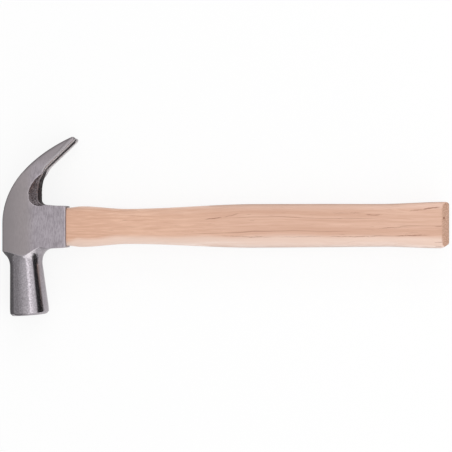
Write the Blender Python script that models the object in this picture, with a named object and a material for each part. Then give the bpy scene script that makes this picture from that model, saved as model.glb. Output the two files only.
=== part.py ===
"""Curved claw hammer: a forged steel head wedged onto a wooden handle, lying on its side.

Metres, +Z up. X runs from the head along the handle, Y from the striking face to the claw.
The origin is where the poll's axis crosses the handle's axis, on the surface that the hammer lies on.
Shapes are built about the hammer's mid-plane, and an empty lifts them to the lying height.
"""

import math

import bmesh
import bpy
from mathutils import Vector

MM = 0.001

# Overall length, from the head's back to the butt
OVERALL_LENGTH = 264.1 * MM

# Cheeks and socket of the head
HEAD_WIDTH = 22.0 * MM
HEAD_BACK = 11.1 * MM
SOCKET_REACH = 26.3 * MM
SOCKET_MOUTH_HEIGHT = 24.7 * MM
SOCKET_ROOT_HEIGHT = 26.2 * MM
SOCKET_ROOT = 14.0 * MM
GRINDING = 1.0 * MM

# Poll, with its axis leaning towards the handle
FACE_DIAMETER = 23.0 * MM
FACE_CHAMFER = 1.4 * MM
FACE_LAND = 2.6 * MM
POLL_LENGTH = 52.6 * MM
POLL_LEAN = math.radians(4.0)
NECK_DIAMETER = 19.3 * MM
FLARE_STEP = 0.5 * MM
FLARE_LENGTH = 9.2 * MM
FLARE_WIDTH = 9.8 * MM
FLARE_EASE = 0.56
FLARE_TURN = 0.78
NECK_DISTANCE = SOCKET_ROOT_HEIGHT / 2 + FLARE_STEP + FLARE_LENGTH

# Claw, in side view: a rounded tip, a straight underside and a swept back
TIP_X = 30.35 * MM
TIP_Y = 51.75 * MM
TIP_RADIUS = 1.45 * MM
TIP_UNDERCUT = 1.25 * MM
UNDERSIDE_ANGLE = math.radians(43.9)
BACK_ANGLE = math.radians(25.0)
BACK_SWEEP = 21.0 * MM
BACK_START = 1.6 * MM
BACK_RISE = 26.2 * MM

# Throat under the claw: a crowned wall with a rough scoop on each side
THROAT_X = 11.0 * MM
THROAT_BEND_ABOVE = 7.0 * MM
THROAT_BEND_BELOW = 11.5 * MM
THROAT_FILLET = 3.0 * MM
CROWN_HALF_WIDTH = 6.5 * MM
CROWN_DROP = 2.4 * MM
SCOOP_DEPTH = 6.7 * MM
SCOOP_START = 0.15
SCOOP_DEEPEST = 0.77
BEND_PULL = 0.67

# Nail slot and prong bevels
SLOT_ROOT_X = 6.6 * MM
SLOT_ROOT_Y = 27.2 * MM
SLOT_ROOT_WIDTH = 1.8 * MM
SLOT_SPREAD = math.radians(5.6)
SLOT_DRAFT = math.radians(2.6)
SLOT_NARROWING = 0.85
BEVEL_DEPTH = 0.8 * MM
BEVEL_ROOT_WIDTH = 1.2 * MM
BEVEL_TIP_WIDTH = 1.7 * MM

# Eye through the head, and the tenon and wedges in it
SOCKET_WALL = 1.2 * MM
CHEEK_WALL = 2.5 * MM
EYE_WAIST = 8.0 * MM
EYE_DRAW_HEIGHT = 1.25 * MM
EYE_DRAW_WIDTH = 2.1 * MM
EYE_SPLAY_HEIGHT = 0.7 * MM
EYE_SPLAY_WIDTH = 0.9 * MM
EYE_SQUARENESS = 4.5
FIT_GAP = 0.3 * MM
EYE_MOUTH_HEIGHT = SOCKET_MOUTH_HEIGHT - 2 * SOCKET_WALL
EYE_MOUTH_WIDTH = HEAD_WIDTH - 2 * CHEEK_WALL
EYE_WAIST_HEIGHT = EYE_MOUTH_HEIGHT - 2 * EYE_DRAW_HEIGHT
EYE_WAIST_WIDTH = EYE_MOUTH_WIDTH - 2 * EYE_DRAW_WIDTH
EYE_BACK_HEIGHT = EYE_WAIST_HEIGHT + 2 * EYE_SPLAY_HEIGHT
EYE_BACK_WIDTH = EYE_WAIST_WIDTH + 2 * EYE_SPLAY_WIDTH
WOOD_WEDGE_LENGTH = 17.0 * MM
WOOD_WEDGE_THICKNESS = 3.4 * MM
WOOD_WEDGE_TIP = 1.2 * MM
STEEL_WEDGE_LENGTH = 12.0 * MM
STEEL_WEDGE_COVER = 0.85 * MM
STEEL_WEDGE_THICKNESS = 2.2 * MM
STEEL_WEDGE_TIP = 0.8 * MM
STEEL_WEDGE_SPACING = 10.4 * MM
STEEL_WEDGE_WIDTH = EYE_WAIST_WIDTH - 2 * (FIT_GAP + STEEL_WEDGE_COVER)
BARBS = 4
BARB_DEPTH = 0.2 * MM

# Handle: the run to each main section from the one before, with its height, thickness and squareness.
# The swell from the neck to the belly takes up what the overall length leaves.
BUTT_RISE = 1.0 * MM
SHOULDER_RUN = 9.3 * MM
SHOULDER_HEIGHT = 24.3 * MM
SHOULDER_THICKNESS = 19.6 * MM
SHOULDER_SQUARENESS = 4.6
NECK_RUN = 27.4 * MM
NECK_HEIGHT = 21.1 * MM
NECK_THICKNESS = 17.6 * MM
NECK_SQUARENESS = 3.2
BELLY_HEIGHT = 26.4 * MM
BELLY_THICKNESS = 20.4 * MM
BELLY_SQUARENESS = 3.2
BELLY_LENGTH = 36.0 * MM
WAIST_RUN = 39.0 * MM
WAIST_HEIGHT = 25.9 * MM
WAIST_THICKNESS = 20.2 * MM
WAIST_SQUARENESS = 3.6
BUTT_RUN = 37.0 * MM
BUTT_HEIGHT = 28.2 * MM
BUTT_THICKNESS = 21.4 * MM
BUTT_SQUARENESS = 4.6
BUTT_LAND = 3.0 * MM
HANDLE_END = OVERALL_LENGTH - HEAD_BACK
GRIP_LENGTH = HANDLE_END - SOCKET_REACH
BELLY_RUN = GRIP_LENGTH - SHOULDER_RUN - NECK_RUN - BELLY_LENGTH - WAIST_RUN - BUTT_RUN - BUTT_LAND
BUTT_BEVEL_LENGTH = 4.6 * MM
BUTT_BEVEL_DEPTH = 3.4 * MM
BUTT_TOP_BEVEL_LENGTH = 1.6 * MM
BUTT_TOP_BEVEL_DEPTH = 1.2 * MM

# Fineness of the round shapes
TURNED_STEPS = 56
CURVE_STEPS = 14
RING_POINTS = 36
RINGS_PER_STRETCH = 7
CROWN_LAYERS = 3
SCOOP_LAYERS = 5
SCOOP_CROWDING = 1.5
POLL_SMOOTH = math.radians(20)
HANDLE_SMOOTH = math.radians(25)
MARGIN = 4.0 * MM
WELD = 0.001 * MM


def clear_scene():
    for obj in list(bpy.data.objects):
        bpy.data.objects.remove(obj)


def principled(name, colour, roughness, metallic):
    material = bpy.data.materials.new(name)
    material.use_nodes = True
    shader = material.node_tree.nodes["Principled BSDF"]
    shader.inputs["Base Color"].default_value = (*colour, 1.0)
    shader.inputs["Roughness"].default_value = roughness
    shader.inputs["Metallic"].default_value = metallic
    return material


def lying_frame():
    """The empty that every piece hangs on, as high as the widest piece is half wide."""
    frame = bpy.data.objects.new("lying_frame", None)
    frame.location.z = max(HEAD_WIDTH, FACE_DIAMETER, BUTT_THICKNESS) / 2
    bpy.context.scene.collection.objects.link(frame)
    return frame


def finished(bm, name, frame, material=None, smooth_angle=None):
    """One object from a bmesh: a piece where it has a material, else a cutter."""
    bmesh.ops.recalc_face_normals(bm, faces=bm.faces)
    mesh = bpy.data.meshes.new(name)
    bm.to_mesh(mesh)
    bm.free()
    if smooth_angle is not None:
        mesh.shade_smooth()
        mesh.set_sharp_from_angle(angle=smooth_angle)
    obj = bpy.data.objects.new(name, mesh)
    obj.parent = frame
    bpy.context.scene.collection.objects.link(obj)
    if material is None:
        obj.hide_render = True
        obj.display_type = "WIRE"
    else:
        mesh.materials.append(material)
    return obj


def join(piece, tool, operation):
    modifier = piece.modifiers.new(f"{operation.lower()} {tool.name}", "BOOLEAN")
    modifier.operation = operation
    modifier.solver = "EXACT"
    modifier.object = tool


def bezier(start, start_pull, end_pull, end, steps):
    points = []
    for step in range(steps + 1):
        t = step / steps
        s = 1 - t
        points.append(s**3 * start + 3 * s * s * t * start_pull + 3 * s * t * t * end_pull + t**3 * end)
    return points


def arc(centre, radius, start, end, steps):
    points = []
    for step in range(steps + 1):
        angle = start + (end - start) * step / steps
        points.append(centre + radius * Vector((math.cos(angle), math.sin(angle))))
    return points


def ease(share):
    """Slow at both ends."""
    return share * share * (3 - 2 * share)


def ease_out(share):
    """Steep at first and level at the end."""
    return math.sin(share * math.pi / 2)


def extruded(outline, low, high):
    """A flat outline in X and Y made into a solid from one height to another."""
    bm = bmesh.new()
    face = bm.faces.new([bm.verts.new((point.x, point.y, low)) for point in outline])
    grown = bmesh.ops.extrude_face_region(bm, geom=[face])["geom"]
    moved = [item for item in grown if isinstance(item, bmesh.types.BMVert)]
    bmesh.ops.translate(bm, verts=moved, vec=(0, 0, high - low))
    return bm


def skinned(rings):
    """Rings of equally many points made into one solid, with flat ends."""
    bm = bmesh.new()
    loops = [[bm.verts.new(point) for point in ring] for ring in rings]
    count = len(rings[0])
    for near, far in zip(loops, loops[1:]):
        for i in range(count):
            j = (i + 1) % count
            bm.faces.new((near[i], near[j], far[j], far[i]))
    bm.faces.new(loops[0])
    bm.faces.new(loops[-1])
    return bm


def oval_ring(x, centre, height, width, squareness):
    """A rounded section across X: an ellipse at squareness 2, and nearly a rectangle at 6."""
    points = []
    for i in range(RING_POINTS):
        angle = 2 * math.pi * i / RING_POINTS
        across, up = math.cos(angle), math.sin(angle)
        y = math.copysign(abs(across) ** (2 / squareness), across)
        z = math.copysign(abs(up) ** (2 / squareness), up)
        points.append((x, centre + y * height / 2, z * width / 2))
    return points


def block(x_range, y_range, z_range):
    (left, right), (front, back) = x_range, y_range
    corners = ((left, front), (right, front), (right, back), (left, back))
    return extruded([Vector(corner) for corner in corners], *z_range)


def tapered_block(x_range, heights, thicknesses, centre=0.0):
    """A block between two places along X, whose height in Y and thickness in Z change evenly."""
    rings = []
    for x, height, thickness in zip(x_range, heights, thicknesses):
        y, z = height / 2, thickness / 2
        rings.append([(x, centre + a * y, b * z) for a, b in ((-1, -1), (1, -1), (1, 1), (-1, 1))])
    return skinned(rings)


def underside_frame():
    """Direction along the straight underside, the normal into the claw, and a point below the tip."""
    along = Vector((math.cos(UNDERSIDE_ANGLE), math.sin(UNDERSIDE_ANGLE)))
    inward = Vector((-along.y, along.x))
    return along, inward, Vector((TIP_X, TIP_Y)) - TIP_UNDERCUT * inward


def throat_corner():
    """Where the straight underside would meet the upright throat."""
    along, _, below_tip = underside_frame()
    return below_tip - along * ((below_tip.x - THROAT_X) / along.x)


def blank_outline():
    """The forging in side view, anticlockwise from the socket, with no poll and before its hollow is cut."""
    tip = Vector((TIP_X, TIP_Y))
    back_along = Vector((math.cos(BACK_ANGLE), math.sin(BACK_ANGLE)))
    back_end = tip + TIP_RADIUS * Vector((-back_along.y, back_along.x))
    back_start = Vector((-HEAD_BACK, BACK_START))
    back_x = -HEAD_BACK - GRINDING
    neck = -NECK_DIAMETER / 2
    half_mouth, half_root = SOCKET_MOUTH_HEIGHT / 2, SOCKET_ROOT_HEIGHT / 2
    outline = [Vector((SOCKET_ROOT, -half_root)), Vector((SOCKET_REACH, -half_mouth))]
    outline += [Vector((SOCKET_REACH, half_mouth + GRINDING))]
    tip_turn = (UNDERSIDE_ANGLE - math.pi / 2, BACK_ANGLE + math.pi / 2)
    outline += arc(tip, TIP_RADIUS, *tip_turn, CURVE_STEPS // 2)
    back_pull, start_pull = back_end - back_along * BACK_SWEEP, back_start + Vector((0, BACK_RISE))
    outline += bezier(back_end, back_pull, start_pull, back_start, CURVE_STEPS)[1:]
    outline += [Vector((back_x, BACK_START)), Vector((back_x, neck)), Vector((0, neck))]
    return outline


def hollow_curve():
    """The claw's underside, the throat and the socket's top as one curve, and each point's way along
    the throat, from 0 to 1."""
    along, _, below_tip = underside_frame()
    corner = throat_corner()
    high = corner + along * THROAT_BEND_ABOVE
    low = corner - Vector((0, THROAT_BEND_BELOW))
    centre = Vector((THROAT_X + THROAT_FILLET, SOCKET_ROOT_HEIGHT / 2 + THROAT_FILLET))
    fillet = arc(centre, THROAT_FILLET, math.pi, 3 * math.pi / 2, CURVE_STEPS // 2)
    bend = bezier(high, high.lerp(corner, BEND_PULL), low.lerp(corner, BEND_PULL), low, CURVE_STEPS)
    mouth = Vector((SOCKET_REACH, SOCKET_MOUTH_HEIGHT / 2))
    throat = bend + fillet
    lengths = [0.0]
    for a, b in zip(throat, throat[1:]):
        lengths.append(lengths[-1] + (b - a).length)
    shares = [length / lengths[-1] for length in lengths]
    start = below_tip + along * 2 * MARGIN
    end = mouth + (mouth - throat[-1]).normalized() * 2 * MARGIN
    return [start] + throat + [end], [0.0] + shares + [1.0]


def scoop_depth(height):
    """How far the throat steps back at a height from the mid-plane: a crown, then a hollow to the cheek."""
    height = abs(height)
    if height <= CROWN_HALF_WIDTH:
        return CROWN_DROP * (height / CROWN_HALF_WIDTH) ** 2
    share = min(1.0, (height - CROWN_HALF_WIDTH) / (HEAD_WIDTH / 2 - CROWN_HALF_WIDTH))
    return CROWN_DROP + (SCOOP_DEPTH - CROWN_DROP) * ease_out(share)


def scoop_reach(share):
    """How much of its depth the scoop has on the way down the throat: a long run in and a short run out."""
    if share < SCOOP_DEEPEST:
        return ease_out(max(0.0, (share - SCOOP_START) / (SCOOP_DEEPEST - SCOOP_START)))
    return ease_out((1 - share) / (1 - SCOOP_DEEPEST)) ** 2


def claw_hollow():
    """The space under the claw, in layers from one cheek to the other."""
    curve, shares = hollow_curve()
    normals = [Vector((0, 0))]
    for before, after in zip(curve, curve[2:]):
        run = (after - before).normalized()
        normals.append(Vector((run.y, -run.x)))
    normals.append(Vector((0, 0)))
    past_cheek = HEAD_WIDTH / 2 + 2 * GRINDING
    crown = [CROWN_HALF_WIDTH * step / CROWN_LAYERS for step in range(CROWN_LAYERS + 1)]
    room = HEAD_WIDTH / 2 - CROWN_HALF_WIDTH
    steps = [(step / SCOOP_LAYERS) ** SCOOP_CROWDING for step in range(1, SCOOP_LAYERS + 1)]
    scoop = [CROWN_HALF_WIDTH + room * step for step in steps]
    upper = crown + scoop + [past_cheek]
    layers = [-height for height in reversed(upper[1:])] + upper
    rings = []
    for height in layers:
        depth = scoop_depth(height)
        ring = []
        for point, normal, share in zip(curve, normals, shares):
            place = point + normal * depth * scoop_reach(share)
            ring.append((place.x, place.y, height))
        rings.append(ring)
    return skinned(rings)


def poll_profile():
    """Distance along the poll's axis and radius, from the striking face to inside the head."""
    face, neck = FACE_DIAMETER / 2, NECK_DIAMETER / 2
    rim = POLL_LENGTH - FACE_CHAMFER
    waist = Vector((NECK_DISTANCE, neck))
    top = Vector((NECK_DISTANCE - FLARE_LENGTH, neck + FLARE_WIDTH))
    waist_pull = Vector((NECK_DISTANCE - FLARE_EASE * FLARE_LENGTH, neck))
    top_pull = Vector((top.x, top.y - FLARE_TURN * FLARE_WIDTH))
    profile = [Vector((POLL_LENGTH, 0)), Vector((POLL_LENGTH, face - FACE_CHAMFER))]
    profile += [Vector((rim, face)), Vector((rim - FACE_LAND, face))]
    profile += bezier(waist, waist_pull, top_pull, top, CURVE_STEPS)
    profile += [Vector((0, top.y)), Vector((0, 0))]
    return profile


def turned_poll():
    """The poll and its flare, turned about an axis that leans towards the handle."""
    axis = Vector((math.sin(POLL_LEAN), -math.cos(POLL_LEAN), 0))
    across = Vector((-axis.y, axis.x, 0))
    bm = bmesh.new()
    chain = [bm.verts.new(axis * point.x + across * point.y) for point in poll_profile()]
    edges = [bm.edges.new(pair) for pair in zip(chain, chain[1:])]
    turn = 2 * math.pi
    bmesh.ops.spin(bm, geom=chain + edges, cent=(0, 0, 0), axis=axis, angle=turn, steps=TURNED_STEPS)
    bmesh.ops.remove_doubles(bm, verts=bm.verts, dist=WELD)
    return bm


def eye_rings(clearance, ends):
    """Sections of the eye from the back to the mouth, drawn in by a clearance; a cutter has longer ends."""
    sections = (
        (-HEAD_BACK - ends, EYE_BACK_HEIGHT, EYE_BACK_WIDTH),
        (-HEAD_BACK, EYE_BACK_HEIGHT, EYE_BACK_WIDTH),
        (EYE_WAIST, EYE_WAIST_HEIGHT, EYE_WAIST_WIDTH),
        (SOCKET_REACH, EYE_MOUTH_HEIGHT, EYE_MOUTH_WIDTH),
        (SOCKET_REACH + ends, EYE_MOUTH_HEIGHT, EYE_MOUTH_WIDTH),
    )
    kept = sections if ends else sections[1:-1]
    return [oval_ring(x, 0, h - 2 * clearance, w - 2 * clearance, EYE_SQUARENESS) for x, h, w in kept]


def nail_slot():
    """The V between the prongs: planes that spread towards the tip and a little towards the underside."""
    root = Vector((SLOT_ROOT_X, SLOT_ROOT_Y, 0))
    run = Vector((TIP_X, TIP_Y, 0)) - root
    along = run.normalized()
    outward = Vector((-along.y, along.x, 0))
    reach = run.length + MARGIN
    through = SLOT_NARROWING * SLOT_ROOT_WIDTH / 2 / math.tan(SLOT_DRAFT)
    rings = []
    for distance in (0, reach):
        ring = []
        for out, side in ((-through, -1), (through, -1), (through, 1), (-through, 1)):
            half = SLOT_ROOT_WIDTH / 2 + distance * math.tan(SLOT_SPREAD) - out * math.tan(SLOT_DRAFT)
            ring.append(root + along * distance + outward * out + Vector((0, 0, side * half)))
        rings.append(ring)
    return skinned(rings)


def prong_bevel(side):
    """A slanting cut along one prong's outer lower edge, wider towards the tip."""
    along, inward, below_tip = underside_frame()
    start, end = throat_corner().to_3d(), (below_tip + along * MARGIN).to_3d()
    inward, up = inward.to_3d(), Vector((0, 0, side))
    rings = []
    for place, width in ((start, BEVEL_ROOT_WIDTH), (end, BEVEL_TIP_WIDTH)):
        edge = place + up * HEAD_WIDTH / 2
        foot = edge - up * BEVEL_DEPTH
        slant = inward * width + up * BEVEL_DEPTH
        rings.append([foot - slant, foot + 2 * slant, edge + (up - inward) * 2 * BEVEL_DEPTH])
    return skinned(rings)


def make_head(frame):
    steel = principled("ground_steel", (0.42, 0.40, 0.41), 0.34, 1.0)
    half = HEAD_WIDTH / 2
    head = finished(extruded(blank_outline(), -half - GRINDING, half + GRINDING), "head", frame, steel)
    join(head, finished(turned_poll(), "poll", frame, smooth_angle=POLL_SMOOTH), "UNION")
    far = (TIP_X + TIP_RADIUS) * 2
    for side in (-1, 1):
        depth = sorted((side * half, side * (FACE_DIAMETER + FLARE_WIDTH)))
        cut = block((-far, far), (-NECK_DISTANCE, TIP_Y + far), depth)
        join(head, finished(cut, f"cheek_cut_{side}", frame), "DIFFERENCE")
    cut = block((-far, -HEAD_BACK), (-NECK_DISTANCE, TIP_Y), (-far, far))
    join(head, finished(cut, "back_cut", frame), "DIFFERENCE")
    join(head, finished(skinned(eye_rings(0, MARGIN)), "eye", frame), "DIFFERENCE")
    join(head, finished(claw_hollow(), "claw_hollow", frame), "DIFFERENCE")
    for side in (-1, 1):
        join(head, finished(prong_bevel(side), f"bevel_{side}", frame), "DIFFERENCE")
    join(head, finished(nail_slot(), "nail_slot", frame), "DIFFERENCE")
    return head


def grip_sections():
    """Run from the section before, sizes, and how the stretch after it changes, from the socket's mouth."""
    tenon = (EYE_MOUTH_HEIGHT - 2 * FIT_GAP, EYE_MOUTH_WIDTH - 2 * FIT_GAP, EYE_SQUARENESS)
    belly = (BELLY_HEIGHT, BELLY_THICKNESS, BELLY_SQUARENESS)
    butt = (BUTT_HEIGHT, BUTT_THICKNESS, BUTT_SQUARENESS)
    return (
        (0, tenon, ease_out),
        (SHOULDER_RUN, (SHOULDER_HEIGHT, SHOULDER_THICKNESS, SHOULDER_SQUARENESS), ease),
        (NECK_RUN, (NECK_HEIGHT, NECK_THICKNESS, NECK_SQUARENESS), ease),
        (BELLY_RUN, belly, ease),
        (BELLY_LENGTH, belly, ease),
        (WAIST_RUN, (WAIST_HEIGHT, WAIST_THICKNESS, WAIST_SQUARENESS), ease),
        (BUTT_RUN, butt, ease),
        (BUTT_LAND + MARGIN, butt, ease),
    )


def handle_rings():
    """The grip's rings, which run past the butt's end for trimming."""
    sections = grip_sections()
    rings = []
    start = SOCKET_REACH
    for (_, first, curve), (run, last, _) in zip(sections, sections[1:]):
        for step in range(1, RINGS_PER_STRETCH + 1):
            share = step / RINGS_PER_STRETCH
            x = start + run * share
            sizes = [a + (b - a) * curve(share) for a, b in zip(first, last)]
            rise = BUTT_RISE * (x - SOCKET_REACH) / GRIP_LENGTH
            rings.append(oval_ring(x, rise, *sizes))
        start += run
    return rings


def trim(bm, point, normal):
    """Cuts away what lies beyond a plane and closes the cut."""
    geometry = bm.verts[:] + bm.edges[:] + bm.faces[:]
    cut = bmesh.ops.bisect_plane(bm, geom=geometry, plane_co=point, plane_no=normal, clear_outer=True)
    edges = [item for item in cut["geom_cut"] if isinstance(item, bmesh.types.BMEdge)]
    bmesh.ops.contextual_create(bm, geom=edges)


def trim_butt(bm):
    """The flat end, then the slanting facets round it."""
    trim(bm, (HANDLE_END, 0, 0), (1, 0, 0))
    half_height, half_thickness = BUTT_HEIGHT / 2, BUTT_THICKNESS / 2
    for y, z, half, length, depth in (
        (0, 1, half_thickness, BUTT_BEVEL_LENGTH, BUTT_BEVEL_DEPTH),
        (0, -1, half_thickness, BUTT_BEVEL_LENGTH, BUTT_BEVEL_DEPTH),
        (-1, 0, half_height - BUTT_RISE, BUTT_BEVEL_LENGTH, BUTT_BEVEL_DEPTH),
        (1, 0, half_height + BUTT_RISE, BUTT_TOP_BEVEL_LENGTH, BUTT_TOP_BEVEL_DEPTH),
    ):
        outward = Vector((0, y, z))
        edge = outward * half + Vector((HANDLE_END - length, 0, 0))
        trim(bm, edge, outward * length + Vector((depth, 0, 0)))


def wedge_taper(depth, length, thickness, tip):
    """Thickness of a wedge at a depth from the tenon's end."""
    return thickness + (tip - thickness) * depth / length


def wood_wedge_solid(clearance, ends):
    """The wooden wedge, or the kerf that holds it, which is open above, below and at the tenon's end."""
    start, end = -ends, WOOD_WEDGE_LENGTH + clearance
    thicknesses = [
        wedge_taper(depth, WOOD_WEDGE_LENGTH, WOOD_WEDGE_THICKNESS, WOOD_WEDGE_TIP) + 2 * clearance
        for depth in (start, end)
    ]
    share = end / (EYE_WAIST + HEAD_BACK)
    heights = [EYE_BACK_HEIGHT, EYE_BACK_HEIGHT + (EYE_WAIST_HEIGHT - EYE_BACK_HEIGHT) * share]
    heights = [height + 2 * ends - 2 * FIT_GAP for height in heights]
    return tapered_block((start - HEAD_BACK, end - HEAD_BACK), heights, thicknesses)


def steel_wedge_slit(y):
    """Room for one steel wedge, across the wooden one."""
    start, end = -MARGIN, STEEL_WEDGE_LENGTH + FIT_GAP
    heights = [
        wedge_taper(depth, STEEL_WEDGE_LENGTH, STEEL_WEDGE_THICKNESS, STEEL_WEDGE_TIP) + 2 * FIT_GAP
        for depth in (start, end)
    ]
    width = STEEL_WEDGE_WIDTH + 2 * FIT_GAP
    return tapered_block((start - HEAD_BACK, end - HEAD_BACK), heights, (width, width), y)


def steel_wedge_solid(y):
    """A barbed steel wedge: each barb steps in before the taper goes on."""
    upper = []
    for barb in range(BARBS):
        start, end = (STEEL_WEDGE_LENGTH * (barb + part) / BARBS for part in (0, 1))
        for depth, step_in in ((start, 0), (end, BARB_DEPTH if barb < BARBS - 1 else 0)):
            thickness = wedge_taper(depth, STEEL_WEDGE_LENGTH, STEEL_WEDGE_THICKNESS, STEEL_WEDGE_TIP)
            upper.append(Vector((depth - HEAD_BACK, thickness / 2 - step_in)))
    outline = [Vector((p.x, y - p.y)) for p in upper] + [Vector((p.x, y + p.y)) for p in reversed(upper)]
    return extruded(outline, -STEEL_WEDGE_WIDTH / 2, STEEL_WEDGE_WIDTH / 2)


def make_handle_and_wedges(frame):
    ash = principled("lacquered_ash", (0.72, 0.45, 0.32), 0.38, 0.0)
    beech = principled("wedge_wood", (0.58, 0.36, 0.22), 0.6, 0.0)
    mild_steel = principled("mild_steel", (0.30, 0.30, 0.31), 0.5, 1.0)
    body = skinned(eye_rings(FIT_GAP, 0) + handle_rings())
    trim_butt(body)
    handle = finished(body, "handle", frame, ash, smooth_angle=HANDLE_SMOOTH)
    wedge = finished(wood_wedge_solid(0, 0), "wooden_wedge", frame, beech)
    join(handle, finished(wood_wedge_solid(FIT_GAP, MARGIN), "kerf", frame), "DIFFERENCE")
    for name, side in (("face_side", -1), ("claw_side", 1)):
        y = side * STEEL_WEDGE_SPACING / 2
        slit = finished(steel_wedge_slit(y), f"slit_{name}", frame)
        join(handle, slit, "DIFFERENCE")
        join(wedge, slit, "DIFFERENCE")
        finished(steel_wedge_solid(y), f"steel_wedge_{name}", frame, mild_steel)


def main():
    clear_scene()
    frame = lying_frame()
    make_head(frame)
    make_handle_and_wedges(frame)


main()
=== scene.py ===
"""The finish of a curved claw hammer: ground and forged steel, lacquered wood and driven wedges.

Metres, +Z up. X runs from the head along the handle, Y from the striking face to the claw. The hammer
lies on its side, and shapes are worked out about its mid-plane and then lifted to it.
"""
import math

import bmesh
import bpy
import numpy as np
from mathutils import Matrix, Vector, noise
from mathutils.bvhtree import BVHTree


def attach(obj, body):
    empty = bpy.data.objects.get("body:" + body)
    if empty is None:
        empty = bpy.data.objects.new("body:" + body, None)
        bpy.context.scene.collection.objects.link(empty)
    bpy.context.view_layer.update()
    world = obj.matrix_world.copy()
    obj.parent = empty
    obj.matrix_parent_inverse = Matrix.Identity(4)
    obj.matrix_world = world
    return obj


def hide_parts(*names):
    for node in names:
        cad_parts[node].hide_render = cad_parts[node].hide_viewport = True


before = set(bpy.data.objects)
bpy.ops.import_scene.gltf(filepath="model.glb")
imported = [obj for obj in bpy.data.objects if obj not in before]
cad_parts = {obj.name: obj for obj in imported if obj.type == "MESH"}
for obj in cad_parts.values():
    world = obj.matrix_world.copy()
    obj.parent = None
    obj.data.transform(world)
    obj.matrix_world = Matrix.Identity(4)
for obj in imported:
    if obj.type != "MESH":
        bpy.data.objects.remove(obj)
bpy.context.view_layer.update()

MM = 0.001
MID_PLANE = 11.5 * MM

# Head: cheeks, back, socket and claw
HEAD_WIDTH = 22.0 * MM
HEAD_BACK = 11.08 * MM
SOCKET_REACH = 26.3 * MM
SOCKET_MOUTH_HEIGHT = 24.7 * MM
SOCKET_ROOT_HEIGHT = 26.2 * MM
SOCKET_ROOT = 14.0 * MM
SOCKET_CHAMFER = 0.3 * MM
SOCKET_SAG = Vector((20.5, 0.3)) * MM
TIP = Vector((30.35, 51.75)) * MM
TIP_RADIUS = 1.45 * MM
TIP_UNDERCUT = 1.25 * MM
UNDERSIDE_ANGLE = math.radians(43.9)
BACK_ANGLE = math.radians(25.0)
BACK_SWEEP = 21.0 * MM
BACK_START = 1.6 * MM
BACK_RISE = 26.2 * MM

# Poll, with its axis leaning towards the handle
FACE_DIAMETER = 23.0 * MM
FACE_CHAMFER = 1.4 * MM
FACE_LAND = 2.6 * MM
POLL_LENGTH = 52.6 * MM
POLL_LEAN = math.radians(4.0)
NECK_DIAMETER = 19.3 * MM
FLARE_STEP = 0.5 * MM
FLARE_LENGTH = 9.2 * MM
FLARE_WIDTH = 9.8 * MM
FLARE_EASE = 0.56
FLARE_TURN = 0.78
CHEEK_LEAN = 0.15
CHEEK_LEAN_FROM = 2.0 * MM
# Painted highlight on the flare: full from this far from the handle's axis towards the cheek
FLARE_HIGHLIGHT_REACH = 17.2 * MM
CHEEK_LEAN_ROOM = 5.0 * MM
NECK_DISTANCE = SOCKET_ROOT_HEIGHT / 2 + FLARE_STEP + FLARE_LENGTH

# Throat, nail slot and prong bevels
THROAT_X = 11.0 * MM
THROAT_BEND_ABOVE = 7.0 * MM
THROAT_BEND_BELOW = 11.5 * MM
THROAT_FILLET = 3.0 * MM
BEND_PULL = 0.67
CROWN_HALF_WIDTH = 6.5 * MM
CROWN_DROP = 2.4 * MM
SCOOP_DEPTH = 6.7 * MM
SCOOP_START = 0.22
SCOOP_DEEPEST = 0.77
SLOT_ROOT = Vector((6.6, 27.2)) * MM
SLOT_ROOT_WIDTH = 1.8 * MM
SLOT_SPREAD = math.radians(5.6)
SLOT_DRAFT = math.radians(2.6)
SLOT_NARROWING = 0.85
BEVEL_DEPTH = 0.5 * MM
BEVEL_ROOT_WIDTH = 0.8 * MM
BEVEL_TIP_WIDTH = 3.0 * MM
BEVEL_LEAST = 0.08
BEVEL_RUN_OUT = (1.5 * MM, 3.5 * MM)
# Bright strips: the throat's ridges, rubbed bright and with a painted highlight, and the slot's painted
# rims; where each lies and how wide it is
BRIGHT_EDGE = 2.3 * MM
BRIGHT_TIP = 0.6 * MM
BRIGHT_RIDGE = 0.3 * MM
RIDGE_RUN_OUT = 0.4 * MM
BRIGHT_RIM = 0.2 * MM

# Eye: place, height and width of each section in millimetres, its squareness, and the tenon's fit in it
EYE_SECTIONS = ((-11.1, 21.2, 14.6), (8.0, 19.8, 12.8), (26.3, 22.3, 17.0))
EYE_SQUARENESS = 4.5
SET_IN = 0.05
FIT_GAP = 0.3 * MM

# Handle: name, place along it, height, thickness and squareness of each main section, in millimetres
GRIP_SECTIONS = (
    ("Swell", 26.38, 22.6, 19.8, 5.0),
    ("Shoulder", 35.4, 24.2, 19.8, 4.6),
    ("Neck", 62.0, 20.9, 17.6, 3.2),
    ("Belly", 138.0, 26.0, 20.4, 3.2),
    ("Belly end", 174.0, 25.9, 20.4, 3.2),
    ("Waist", 213.0, 25.5, 20.2, 3.8),
    ("Butt", 250.0, 27.5, 21.4, 8.0),
)
HANDLE_END = 252.97 * MM
BUTT_RISE = 1.0 * MM
BUTT_BEVEL = Vector((5.0, 3.5)) * MM
BUTT_LOW_BEVEL = Vector((4.6, 2.6)) * MM
BUTT_TOP_BEVEL = Vector((1.6, 1.2)) * MM
HANDLE_ROWS = 620
TENON_ROWS = 84
LIP = 0.06 * MM
HANDLE_COLUMNS = 132
CAP_ROWS = 10
ROUNDING_STEPS = 2

# Wood: where along the handle its colour changes, and the small knot on the butt's bevel
WARMER_WOOD = (140.0 * MM, 60.0 * MM)
DEEPER_WOOD = (72.0 * MM, 48.0 * MM)
FLECKED_WOOD = (150.0 * MM, 70.0 * MM)
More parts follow.
